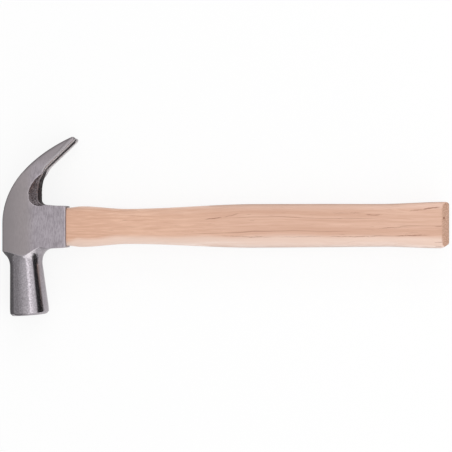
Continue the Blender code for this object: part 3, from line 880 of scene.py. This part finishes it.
def poll_marks(mesh, places, turned):
    """Marks the turned poll, and a painted highlight on its flare, full towards the cheek."""
    x, y, _ = places.T
    on_poll = near(places, turned, NEAR_POLL) * (y < -SOCKET_MOUTH_HEIGHT / 2)
    store(mesh, "turned", on_poll)
    # Painted highlight on the flare, full near the cheek and brighter on one side
    towards_cheek = between(y, -FLARE_HIGHLIGHT_REACH - FLARE_FADE, -FLARE_HIGHLIGHT_REACH)
    pale = 0.3 + 0.7 * between(x, *FLARE_BRIGHT) - between(x, *FLARE_DULL)
    store(mesh, "flare", on_poll * towards_cheek * pale)


def make_head():
    """The forging, with softened edges, pits in its throat, and marks of where each finish, painted shade
    and painted highlight is.
    """
    hollow, turned, slot = claw_hollow(), poll(), nail_slot()
    hollow_surface, turned_surface, slot_surface = map(surface_of, (hollow, turned, slot))
    cuts = grinding_cuts() + [eye(), hollow, prong_bevel(-1), prong_bevel(1), slot]
    head = worked(blank(), [turned], cuts)
    soften(head)
    mesh = head.data
    ease(mesh, between(coordinates(mesh)[:, 1], *beside_bend(CLAW_EASED)), CLAW_SOFTENING)
    places = coordinates(mesh)
    claw, forged = throat_marks(mesh, places, hollow_surface, slot_surface)
    crown_marks(mesh, places)
    poll_marks(mesh, places, turned_surface)
    store(mesh, "forged", forged)
    # Sharp edges: rubbed bright off the claw, painted shade on the claw
    store(mesh, "wear_and_shade", edge_sharpness(mesh))
    pit(mesh, forged * between(places[:, 0], *PITS_END))
    claw_marks(mesh, claw)
    mesh.materials.clear()
    mesh.materials.append(steel_finish())
    head.name = "forged_head"
    return head


def ground_colour(finish, apart, height, tone):
    """Ground steel: fine on the cheeks, coarse on the socket, darker at the claw's end, with painted shade
    darkening the cheeks towards the back.
    """
    fine = finish.blend(finish.rise(tone, 0.3, 0.7), rgb(149, 142, 144), rgb(161, 153, 155))
    # Painted shade towards the back
    fine = finish.tint(fine, rgb(136, 130, 132), 0.8, apart, *TOWARDS_BACK)
    coarse = finish.blend(finish.rise(tone, 0.36, 0.64), rgb(146, 139, 145), rgb(178, 170, 177))
    coarse = finish.tint(coarse, rgb(152, 145, 148), 0.9, height, *TOWARDS_TIP)
    return finish.blend(finish.rise(apart, *TOWARDS_SOCKET), fine, coarse)


def poll_colour(finish):
    """Polished steel with a fine grain, and a painted highlight on the flare."""
    grains = finish.speckle(1500, 3, 0.6)
    bright = finish.blend(finish.rise(grains, 0.3, 0.7), rgb(148, 142, 147), rgb(186, 180, 186))
    # Painted highlight on the flare
    return finish.blend(finish.mark("flare"), bright, rgb(203, 197, 201))


def throat_colour(finish, height, scale):
    """Forging scale, with a dark crown, and bright ridges along it, rubbed bright and with a painted
    highlight that is stronger near the claw.
    """
    dark = finish.blend(finish.rise(scale, 0.4, 0.7), rgb(105, 96, 99), rgb(182, 173, 177))
    dark = finish.blend(finish.mark("crown"), dark, rgb(63, 56, 58))
    # The ridges: rubbed bright, with a painted highlight that is stronger near the claw
    brighter = finish.rise(height, *beside_bend(RIDGE_BRIGHTENS))
    ridge = finish.blend(brighter, rgb(166, 157, 161), rgb(236, 230, 233))
    return finish.blend(finish.mark("ridge"), dark, ridge)


def claw_colour(finish, apart, colour):
    """The prongs' facets with painted shade towards the tip, painted shade in the creases and in the slot,
    and painted highlights on the slot's rims, over a colour.
    """
    # Painted shade on the facets, darker towards the tip
    lower_edge_painted_light = finish.blend(finish.rise(apart, *FACET_DARKENS), rgb(152, 147, 150), rgb(127, 122, 125))
    colour = finish.blend(finish.mark("facet"), colour, lower_edge_painted_light)
    # Painted shade in the creases beside the facets
    colour = finish.blend(finish.times(finish.mark("crease"), 0.6), colour, rgb(118, 111, 114))
    # Painted shade inside the slot, with painted highlights on its rims
    inside = finish.blend(finish.mark("rim"), rgb(36, 31, 33), rgb(235, 230, 233))
    return finish.blend(finish.mark("slot"), colour, inside)


def worn_and_shaded_edges(finish, apart, colour):
    """Edges rubbed bright, most at the socket's mouth; on the claw outside its facets, painted shade
    darkens the edges instead.
    """
    claw = finish.mark("claw")
    # Rubbed bright off the claw, painted shade on the claw
    rubbed_or_shaded = finish.blend(claw, rgb(200, 194, 198), rgb(112, 105, 108))
    share = finish.rise(apart, *MOUTH_WEAR, 0.15, 0.5)
    share = finish.sum("MAXIMUM", share, finish.rise(claw, 0.0, 1.0, 0.15, 0.9))
    share = finish.times(share, finish.rise(finish.mark("facet"), 0.0, 1.0, 1.0, 0.0))
    return finish.blend(finish.times(finish.mark("wear_and_shade"), share), colour, rubbed_or_shaded)


def steel_finish():
    """Ground cheeks and claw, a coarser ground socket, a polished poll and a scaled throat, with painted
    shade and painted highlights on the head.
    """
    finish = Finish("forged_and_ground_steel")
    sides = finish.add("ShaderNodeSeparateXYZ", {0: finish.place}).node.outputs
    apart, height = sides["X"], sides["Y"]
    turned, forged, wall = (finish.mark(name) for name in ("turned", "forged", "wall"))
    blotches = finish.speckle(240, 3)
    streaks = finish.grain((2600, 420, 2600), 4, 0.65, turn=(0, 0, 0.12))
    specks = finish.speckle(3400, 2)
    scale = finish.speckle(1300, 3, 0.65)
    tone = finish.sum("ADD", finish.times(blotches, 0.25), finish.times(streaks, 0.75))
    colour = finish.blend(turned, ground_colour(finish, apart, height, tone), poll_colour(finish))
    # Painted reflection: the claw's underside made nearly white, as if it mirrored the white floor
    underside_reflection = finish.times(finish.mark("underside"), 0.9)
    colour = finish.blend(underside_reflection, colour, rgb(224, 218, 221))
    colour = finish.blend(forged, colour, throat_colour(finish, height, scale))
    colour = worn_and_shaded_edges(finish, apart, claw_colour(finish, apart, colour))
    # Painted shade: the wall under the upper prong made dark, with no metal's shine
    finish.set("Base Color", finish.blend(wall, colour, rgb(52, 46, 48)))
    finish.set("Metallic", finish.rise(wall, 0.0, 1.0, 1.0, 0.0))
    finish.set("Specular IOR Level", finish.rise(wall, 0.0, 1.0, 0.5, 0.05))
    shine = finish.rise(tone, 0.3, 0.7, 0.30, 0.38)
    shine = finish.blend(turned, shine, finish.rise(specks, 0.3, 0.7, 0.15, 0.22))
    shine = finish.blend(forged, shine, finish.rise(scale, 0.3, 0.7, 0.6, 0.42))
    finish.set("Roughness", shine)
    grit = finish.blend(forged, streaks, scale)
    marks = finish.relief(grit, 0.3, 0.04 * MM)
    finish.set("Normal", finish.relief(specks, 0.2, 0.015 * MM, marks))
    return finish.material


def handle_inputs():
    """Name and size of each input of the handle's rule."""
    inputs = [("Handle end", HANDLE_END), ("Butt rise", BUTT_RISE)]
    bevels = (("Bevel", BUTT_BEVEL), ("Low bevel", BUTT_LOW_BEVEL), ("Top bevel", BUTT_TOP_BEVEL))
    for name, (length, depth) in bevels:
        inputs += [(f"{name} length", length), (f"{name} depth", depth)]
    for name, x, height, thickness, squareness in handle_sections():
        inputs += [(f"{name} place", x * MM), (f"{name} height", height * MM)]
        inputs += [(f"{name} thickness", thickness * MM), (f"{name} squareness", squareness)]
    return inputs


def handle_sections():
    """Sections from the tenon's end to the butt."""
    gap = FIT_GAP / MM
    shifts = (("Tenon end", SET_IN), ("Tenon waist", 0.0), ("Tenon mouth", SET_IN))
    tenon = [
        (name, x + shift, height - 2 * gap, width - 2 * gap, EYE_SQUARENESS)
        for (name, shift), (x, height, width) in zip(shifts, EYE_SECTIONS)
    ]
    return tenon + list(GRIP_SECTIONS)


def signed_power(web, side, power):
    """A power that keeps the sign, and is exactly zero where a sine or cosine is."""
    above_zero = web.sum("SUBTRACT", web.sum("ABSOLUTE", side), ROUND_OFF)
    size = web.sum("POWER", web.sum("MAXIMUM", above_zero, 0.0), power)
    return web.times(web.sum("SIGN", side), size)


def place_along(web, given, row):
    """The place of each row along the handle: close together at the socket's mouth, still on the ends."""
    mouth, last = CAP_ROWS + TENON_ROWS, HANDLE_ROWS - 1
    lip = web.sum("ADD", given["Swell place"], LIP)
    stretches = (
        (CAP_ROWS, mouth, given["Tenon end place"], given["Tenon mouth place"]),
        (mouth, mouth + 1, given["Tenon mouth place"], given["Swell place"]),
        (mouth + 1, mouth + 2, given["Swell place"], lip),
        (mouth + 2, last - CAP_ROWS, lip, given["Handle end"]),
    )
    along = given["Tenon end place"]
    for first, final, start, end in stretches:
        step = web.rise(row, first, final, 0.0, web.sum("SUBTRACT", end, start), smooth=False)
        along = web.sum("ADD", along, step)
    return along


def section_size(web, given, along, kind):
    """One size of the handle's section, which flows from each main section to the next."""
    names = [section[0] for section in handle_sections()]
    size = given[f"{names[0]} {kind}"]
    for before, after in zip(names, names[1:]):
        change = web.sum("SUBTRACT", given[f"{after} {kind}"], given[f"{before} {kind}"])
        share = web.rise(along, given[f"{before} place"], given[f"{after} place"])
        size = web.sum("MULTIPLY_ADD", change, share, size)
    return size


def held(web, value, low, high):
    """A value kept between minus one limit and another."""
    return web.sum("MINIMUM", web.sum("MAXIMUM", value, web.times(low, -1.0)), high)


def ring_point(web, given, along, angle):
    """How far up and out a ring reaches at an angle, within the butt's bevels."""
    power = web.sum("DIVIDE", 2.0, section_size(web, given, along, "squareness"))
    half_height = web.times(section_size(web, given, along, "height"), 0.5)
    half_thickness = web.times(section_size(web, given, along, "thickness"), 0.5)
    up = web.times(signed_power(web, web.sum("COSINE", angle), power), half_height)
    out = web.times(signed_power(web, web.sum("SINE", angle), power), half_thickness)
    side = bevel_limit(web, given, along, half_thickness, "Bevel")
    low = bevel_limit(web, given, along, half_height, "Low bevel")
    top = bevel_limit(web, given, along, half_height, "Top bevel")
    return held(web, up, low, top), held(web, out, side, side)


def rounded(web, given, shape):
    """The handle with its edges evened out a little, from the shoulder on."""
    here = web.add("GeometryNodeInputPosition")
    past = web.add("ShaderNodeSeparateXYZ", {0: here}, out="X")
    weight = web.rise(past, given["Swell place"], given["Shoulder place"])
    blur = {"Iterations": ROUNDING_STEPS, "Weight": weight}
    evened = web.add("GeometryNodeBlurAttribute", blur, data_type="FLOAT_VECTOR")
    web.tree.links.new(here, evened.node.inputs["Value"])
    return web.add("GeometryNodeSetPosition", {"Geometry": shape, "Position": evened})


def handle_rule(material):
    """A node tree that draws the handle from its sections: rows of rounded rings, closed at both ends."""
    tree = bpy.data.node_groups.new("handle_from_sections", "GeometryNodeTree")
    for name, size in handle_inputs():
        socket = tree.interface.new_socket(name, in_out="INPUT", socket_type="NodeSocketFloat")
        socket.default_value = size
    tree.interface.new_socket("Handle", in_out="OUTPUT", socket_type="NodeSocketGeometry")
    web = Web(tree)
    given = tree.nodes.new("NodeGroupInput").outputs
    grid_size = {"Vertices X": HANDLE_ROWS, "Vertices Y": HANDLE_COLUMNS}
    grid = web.add("GeometryNodeMeshGrid", grid_size, out="Mesh")
    shares = web.add("ShaderNodeSeparateXYZ", {0: grid.node.outputs["UV Map"]}).node.outputs
    last = HANDLE_ROWS - 1.0
    row = web.times(shares["X"], last)
    along = place_along(web, given, row)
    up, out = ring_point(web, given, along, web.times(shares["Y"], 2 * math.pi))
    opening = web.sum("MINIMUM", web.sum("DIVIDE", row, CAP_ROWS), 1.0)
    closing = web.sum("MINIMUM", web.sum("DIVIDE", web.sum("SUBTRACT", last, row), CAP_ROWS), 1.0)
    inset = web.sum("MINIMUM", opening, closing)
    ends = (given["Tenon mouth place"], given["Handle end"])
    lean = web.rise(along, *ends, 0.0, given["Butt rise"], smooth=False)
    y = web.sum("MULTIPLY_ADD", up, inset, lean)
    z = web.sum("MULTIPLY_ADD", out, inset, MID_PLANE)
    place = web.add("ShaderNodeCombineXYZ", {"X": along, "Y": y, "Z": z})
    shape = web.add("GeometryNodeSetPosition", {"Geometry": grid, "Position": place})
    shape = web.add("GeometryNodeMergeByDistance", {"Geometry": shape, "Distance": SEAM})
    shape = web.add("GeometryNodeSetShadeSmooth", {"Geometry": rounded(web, given, shape)})
    shape = web.add("GeometryNodeRealizeInstances", {"Geometry": shape})
    shape = web.add("GeometryNodeSetMaterial", {"Geometry": shape, "Material": material})
    tree.links.new(shape, tree.nodes.new("NodeGroupOutput").inputs["Handle"])
    return tree


def bevel_limit(web, given, along, half, bevel):
    """How far out one of the butt's bevels lets a ring reach at a place along the handle."""
    start = web.sum("SUBTRACT", given["Handle end"], given[f"{bevel} length"])
    taken = web.rise(along, start, given["Handle end"], 0.0, given[f"{bevel} depth"], smooth=False)
    return web.sum("SUBTRACT", half, taken)


def wedge_cut():
    """The kerf for the wooden wedge, open above, below and at the tenon's end."""
    start, end = -MARGIN, WEDGE_LENGTH + FIT_GAP
    wide = [
        WEDGE_THICKNESS + (WEDGE_TIP - WEDGE_THICKNESS) * depth / WEDGE_LENGTH + 2 * FIT_GAP
        for depth in (start, end)
    ]
    ends = (start - HEAD_BACK, end - HEAD_BACK)
    return made(tapered_block(ends, [2 * HEAD_WIDTH] * 2, wide), "kerf")


def cross_cut(side):
    """The slit for one steel wedge."""
    start, end = -MARGIN, CROSS_LENGTH + FIT_GAP
    heights = [
        CROSS_THICKNESS + (CROSS_TIP - CROSS_THICKNESS) * depth / CROSS_LENGTH + 2 * FIT_GAP
        for depth in (start, end)
    ]
    width = CROSS_WIDTH + 2 * FIT_GAP
    ends = (start - HEAD_BACK, end - HEAD_BACK)
    return made(tapered_block(ends, heights, (width, width), side * CROSS_SPACING / 2), "slit")


def make_handle():
    """The handle from its rule, with the wedges' cuts in its tenon, and marks for its finish."""
    handle = linked("wooden_handle", bpy.data.meshes.new("wooden_handle"))
    rule = handle.modifiers.new("handle from sections", "NODES")
    rule.node_group = handle_rule(wood_finish())
    sizes = dict(handle_inputs())
    for item in rule.node_group.interface.items_tree:
        if item.in_out == "INPUT":
            rule[item.identifier] = sizes[item.name]
    plain(handle)
    worked(handle, [], [wedge_cut(), cross_cut(-1), cross_cut(1)])
    mesh = handle.data
    x, normals = coordinates(mesh)[:, 0], directions(mesh)
    at_ends = (x < 0) | (x > HANDLE_END - 3 * BUTT_BEVEL.x)
    store(mesh, "end_grain", between(np.abs(normals[:, 0]), *END_GRAIN_FACING) * at_ends)
    # Where the surface turns down, for a painted highlight
    store(mesh, "lower_edge_painted_light", between(-normals[:, 1], *LOWER_EDGE_FACING))
    return handle


def grain_flow(finish):
    """The place along the handle, its height, that height bent as the fibres run, and the bent place."""
    apart = finish.add("ShaderNodeSeparateXYZ", {0: finish.place}).node.outputs
    slow = finish.grain((9, 50, 50), 2)
    quick = finish.grain((32, 90, 60), 2, shift=(2, 5, 1))
    level = finish.sum("MULTIPLY_ADD", slow, SLOW_BEND, apart["Y"])
    level = finish.sum("MULTIPLY_ADD", quick, QUICK_BEND, level)
    flow = finish.add("ShaderNodeCombineXYZ", {"X": apart["X"], "Y": level, "Z": apart["Z"]})
    return apart["X"], apart["Y"], level, flow


def growth_mark(finish, x, level, start, end, half_width, darkness):
    """How much a thin dark line from one place to another shows: it fades at both ends."""
    (left, low), (right, high) = start, end
    slope = (high - low) / (right - left)
    middle = finish.sum("MULTIPLY_ADD", x, slope, (low - slope * left) * MM)
    off = finish.sum("ABSOLUTE", finish.sum("SUBTRACT", level, middle))
    line = finish.rise(off, half_width * MM, 0.2 * half_width * MM, 0.0, darkness)
    fade = 0.3 * (right - left)
    line = finish.times(line, finish.rise(x, left * MM, (left + fade) * MM))
    return finish.times(line, finish.rise(x, right * MM, (right - fade) * MM))


def growth_marks(finish, x, y):
    """All the dark growth marks, a little uneven."""
    wobble = finish.grain((160, 240, 240), 3, 0.6, shift=(4, 9, 2))
    level = finish.sum("MULTIPLY_ADD", finish.sum("SUBTRACT", wobble, 0.5), MARK_WOBBLE, y)
    marks = [growth_mark(finish, x, level, *mark) for mark in GROWTH_MARKS]
    shown = marks[0]
    for mark in marks[1:]:
        shown = finish.sum("MAXIMUM", shown, mark)
    breaks = finish.grain((420, 1500, 900), 2, shift=(1, 6, 3))
    return finish.times(shown, finish.rise(breaks, 0.3, 0.5, 0.35, 1.0))


def heartwood(finish, x, grain):
    """Wood with streaks, fibres, growth lines and pores, warmer and then deeper towards the head."""
    colour = finish.blend(finish.rise(grain["streaks"], 0.3, 0.7), rgb(208, 163, 139), rgb(224, 182, 159))
    colour = finish.tint(colour, rgb(200, 152, 128), 0.55, grain["fibres"], 0.4, 0.7)
    colour = finish.blend(grain["growth"], colour, rgb(172, 126, 104))
    colour = finish.tint(colour, rgb(162, 116, 94), 0.5, grain["pores"], 0.66, 0.76)
    colour = finish.tint(colour, rgb(238, 190, 160), 0.35, x, *WARMER_WOOD)
    return finish.tint(colour, rgb(206, 158, 132), 0.45, x, *DEEPER_WOOD)


def flecked(finish, x, colour):
    """Short dark and pale flecks towards the head, over a colour."""
    flecks = finish.grain((80, 1000, 800), 3, 0.6, shift=(5, 8, 3))
    towards_head = finish.rise(x, *FLECKED_WOOD)
    dark = finish.times(finish.rise(flecks, 0.5, 0.3, 0.0, 0.35), towards_head)
    colour = finish.blend(dark, colour, rgb(196, 147, 121))
    pale = finish.times(finish.rise(flecks, 0.5, 0.7, 0.0, 0.38), towards_head)
    return finish.blend(pale, colour, rgb(243, 201, 174))


def with_sapwood_and_painted_highlights(finish, x, y, level, grain, colour):
    """Paler sapwood along the lower side, painted highlights on its edge and along the top, over a colour.
    """
    for start, end, before, after in SAPWOOD_SHIFTS:
        shift = finish.rise(x, start * MM, end * MM, before * MM, after * MM)
        level = finish.sum("ADD", level, shift)
    colour = finish.tint(colour, rgb(238, 211, 196), 0.70, level, *SAPWOOD_FADE)
    # Painted highlight on the lower edge, stronger towards the butt, with the grain showing through
    pale = finish.blend(finish.rise(grain["streaks"], 0.35, 0.65), rgb(240, 211, 197), rgb(254, 239, 231))
    pale = finish.tint(pale, rgb(226, 190, 170), 0.6, grain["fibres"], 0.45, 0.7)
    pale = finish.blend(grain["growth"], pale, rgb(204, 160, 136))
    share = finish.times(finish.mark("lower_edge_painted_light"), finish.rise(x, *LOWER_EDGE_HIGHLIGHT, 0.3, 0.9))
    colour = finish.blend(share, colour, pale)
    # Painted highlight along the top edge
    return finish.tint(colour, rgb(240, 206, 190), 0.45, y, *TOP_EDGE_HIGHLIGHT)


def end_grain(finish, x, y):
    """Darker wood with open pores, and a small knot."""
    dots = finish.grain((500, 2200, 2200), 3)
    colour = finish.blend(finish.rise(dots, 0.4, 0.65), rgb(182, 141, 119), rgb(212, 173, 152))
    spot = finish.add("ShaderNodeCombineXYZ", {"X": x, "Y": y})
    from_knot = finish.add("ShaderNodeVectorMath", {0: spot, 1: KNOT}, out="Value", operation="DISTANCE")
    return finish.blend(finish.rise(from_knot, *KNOT_FADE), colour, rgb(140, 92, 72))


def wood_finish():
    """Pale lacquered wood: streaks, fibres and short pores that wander, paler sapwood on the lower side,
    painted highlights along both edges, a few dark growth marks, and darker end grain."""
    finish = Finish("lacquered_wood", Coat_Weight=0.3, Coat_Roughness=0.28, Specular_IOR_Level=0.4)
    x, y, level, finish.place = grain_flow(finish)
    fibres = finish.grain((55, 1700, 1200), 4, 0.65)
    pores = finish.grain((120, 2200, 1800), 2)
    lines = finish.grain((13, 560, 260), 2, shift=(3, 1, 2))
    patches = finish.grain((14, 60, 60), 2, shift=(7, 2, 5))
    grain = {
        "streaks": finish.grain((10, 360, 200), 4, 0.65),
        "fibres": fibres,
        "pores": pores,
        "growth": finish.times(finish.rise(lines, 0.63, 0.7), finish.rise(patches, 0.42, 0.6, 0.0, 0.75)),
    }
    colour = flecked(finish, x, heartwood(finish, x, grain))
    colour = with_sapwood_and_painted_highlights(finish, x, y, level, grain, colour)
    colour = finish.blend(growth_marks(finish, x, y), colour, rgb(150, 103, 80))
    finish.set("Base Color", finish.blend(finish.mark("end_grain"), colour, end_grain(finish, x, y)))
    finish.set("Roughness", finish.rise(fibres, 0.3, 0.7, 0.5, 0.4))
    furrows = finish.relief(fibres, 0.12, 0.05 * MM)
    finish.set("Normal", finish.relief(pores, 0.10, 0.05 * MM, furrows))
    return finish.material


def wedge_wood_finish():
    """Dull wood, darker than the handle's."""
    finish = Finish("wedge_wood", Specular_IOR_Level=0.3)
    fibres = finish.grain((60, 1200, 1600), 5, 0.6)
    dots = finish.speckle(1900, 3)
    colour = finish.blend(finish.rise(fibres, 0.3, 0.7), rgb(158, 112, 80), rgb(190, 145, 110))
    colour = finish.tint(colour, rgb(120, 82, 58), 0.5, dots, 0.6, 0.75)
    finish.set("Base Color", colour)
    finish.set("Roughness", finish.rise(fibres, 0.3, 0.7, 0.75, 0.6))
    finish.set("Normal", finish.relief(fibres, 0.3, 0.08 * MM))
    return finish.material


def wedge_steel_finish():
    """Scaled steel with a few rusty blotches."""
    finish = Finish("wedge_steel", Metallic=1.0)
    scale = finish.speckle(800, 4, 0.6)
    blotches = finish.speckle(260, 3)
    colour = finish.blend(finish.rise(scale, 0.3, 0.7), rgb(104, 98, 96), rgb(150, 146, 146))
    colour = finish.tint(colour, rgb(112, 88, 72), 0.5, blotches, 0.55, 0.75)
    finish.set("Base Color", colour)
    finish.set("Roughness", finish.rise(scale, 0.3, 0.7, 0.6, 0.42))
    finish.set("Normal", finish.relief(scale, 0.3, 0.06 * MM))
    return finish.material


def make_wedge(node, name, material):
    """A driven wedge: the solid with its edges broken."""
    bm = bmesh.new()
    bm.from_mesh(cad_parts[node].data)
    bmesh.ops.remove_doubles(bm, verts=bm.verts, dist=WELD)
    bmesh.ops.dissolve_limit(bm, angle_limit=math.radians(1), verts=bm.verts, edges=bm.edges)
    wedge = solid(bm, name)
    broken = wedge.modifiers.new("broken edges", "BEVEL")
    broken.width = WEDGE_EDGE
    broken.segments = 2
    broken.limit_method = "ANGLE"
    plain(wedge)
    wedge.data.materials.clear()
    wedge.data.materials.append(material)
    return wedge


def dress(piece, node):
    """Puts a piece in place of a solid: joins it to the root and hides the solid."""
    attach(piece, "root")
    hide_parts(node)


def make_pieces():
    """Every piece of the hammer, in place of its solid."""
    dress(make_head(), "head")
    dress(make_handle(), "handle")
    wooden = make_wedge("wooden_wedge", "driven_wooden_wedge", wedge_wood_finish())
    dress(wooden, "wooden_wedge")
    steel = wedge_steel_finish()
    for node in ("steel_wedge_face_side", "steel_wedge_claw_side"):
        dress(make_wedge(node, f"driven_{node}", steel), node)


def make_floor():
    """A pale floor that keeps a soft shadow and looks white to the camera and in the steel."""
    bm = bmesh.new()
    bmesh.ops.create_grid(bm, x_segments=1, y_segments=1, size=FLOOR_HALF_WIDTH)
    floor = solid(bm, "floor")
    material = bpy.data.materials.new("pale_floor")
    material.use_nodes = True
    web = Web(material.node_tree)
    paper = web.add("ShaderNodeBsdfDiffuse", {"Color": (*[FLOOR_TONE] * 3, 1.0)})
    white = web.add("ShaderNodeEmission", {"Color": (1.0, 1.0, 1.0, 1.0), "Strength": 1.0})
    ray = web.tree.nodes.new("ShaderNodeLightPath").outputs
    seen = web.times(ray["Is Camera Ray"], FLOOR_SEEN)
    mirrored = web.times(ray["Is Glossy Ray"], FLOOR_MIRRORED)
    lit = web.add("ShaderNodeMixShader", {0: web.sum("ADD", seen, mirrored), 1: paper, 2: white})
    web.tree.links.new(lit, web.tree.nodes["Material Output"].inputs["Surface"])
    web.tree.nodes.remove(web.tree.nodes["Principled BSDF"])
    floor.data.materials.append(material)


def make_world():
    """A sky that is darker towards the horizon, and white behind everything."""
    world = bpy.data.worlds.new("studio")
    bpy.context.scene.world = world
    world.use_nodes = True
    web = Web(world.node_tree)
    sky = world.node_tree.nodes["Background"]
    sky.inputs["Color"].default_value = (1.0, 1.0, 1.0, 1.0)
    way = web.add("ShaderNodeTexCoord", out="Generated")
    level = web.add("ShaderNodeSeparateXYZ", {0: way}, out="Z")
    overhead = web.sum("POWER", web.sum("MAXIMUM", level, 0.0), SKY_FALL_OFF)
    light = web.sum("MULTIPLY_ADD", overhead, SKY_OVERHEAD, SKY_HORIZON)
    seen = web.tree.nodes.new("ShaderNodeLightPath").outputs["Is Camera Ray"]
    web.tree.links.new(web.sum("MAXIMUM", light, seen), sky.inputs["Strength"])


def make_flag(name, place, target, size, tone):
    """A screen out of the picture, dark or pale, which only the shine of the steel shows."""
    bm = bmesh.new()
    bmesh.ops.create_grid(bm, x_segments=1, y_segments=1, size=0.5)
    bmesh.ops.scale(bm, vec=(*size, 1.0), verts=bm.verts)
    turn = (Vector(target) - Vector(place)).to_track_quat("-Z", "Y")
    bmesh.ops.rotate(bm, cent=(0, 0, 0), matrix=turn.to_matrix(), verts=bm.verts)
    bmesh.ops.translate(bm, vec=place, verts=bm.verts)
    flag = solid(bm, name)
    material = bpy.data.materials.new("flag_cloth")
    material.use_nodes = True
    shader = material.node_tree.nodes["Principled BSDF"]
    shader.inputs["Base Color"].default_value = (tone, tone, tone, 1.0)
    shader.inputs["Roughness"].default_value = 0.9
    flag.data.materials.append(material)
    flag.visible_camera = False
    flag.visible_diffuse = False
    flag.visible_shadow = False


def make_lamp(name, place, target, size, power):
    """A soft square lamp that the camera doesn't see."""
    data = bpy.data.lights.new(name, "AREA")
    data.shape = "RECTANGLE"
    data.size, data.size_y = size
    data.energy = power
    lamp = linked(name, data)
    lamp.location = place
    lamp.rotation_euler = (Vector(target) - Vector(place)).to_track_quat("-Z", "Y").to_euler()
    lamp.visible_camera = False


def make_studio():
    """The floor, the sky, the lamps and the flags."""
    make_floor()
    make_world()
    for lamp in LAMPS:
        make_lamp(*lamp)
    for flag in FLAGS:
        make_flag(*flag)


def make_camera():
    """A camera straight above the hammer."""
    data = bpy.data.cameras.new("camera")
    data.sensor_width = SENSOR
    data.lens = SENSOR * CAMERA_HEIGHT / (PICTURE_PIXELS * PIXEL_SIZE)
    camera = linked("camera", data)
    camera.location = (*CAMERA_OVER, MID_PLANE + CAMERA_HEIGHT)
    bpy.context.scene.camera = camera


bpy.context.scene.view_settings.view_transform = "Standard"
make_pieces()
make_studio()
make_camera()
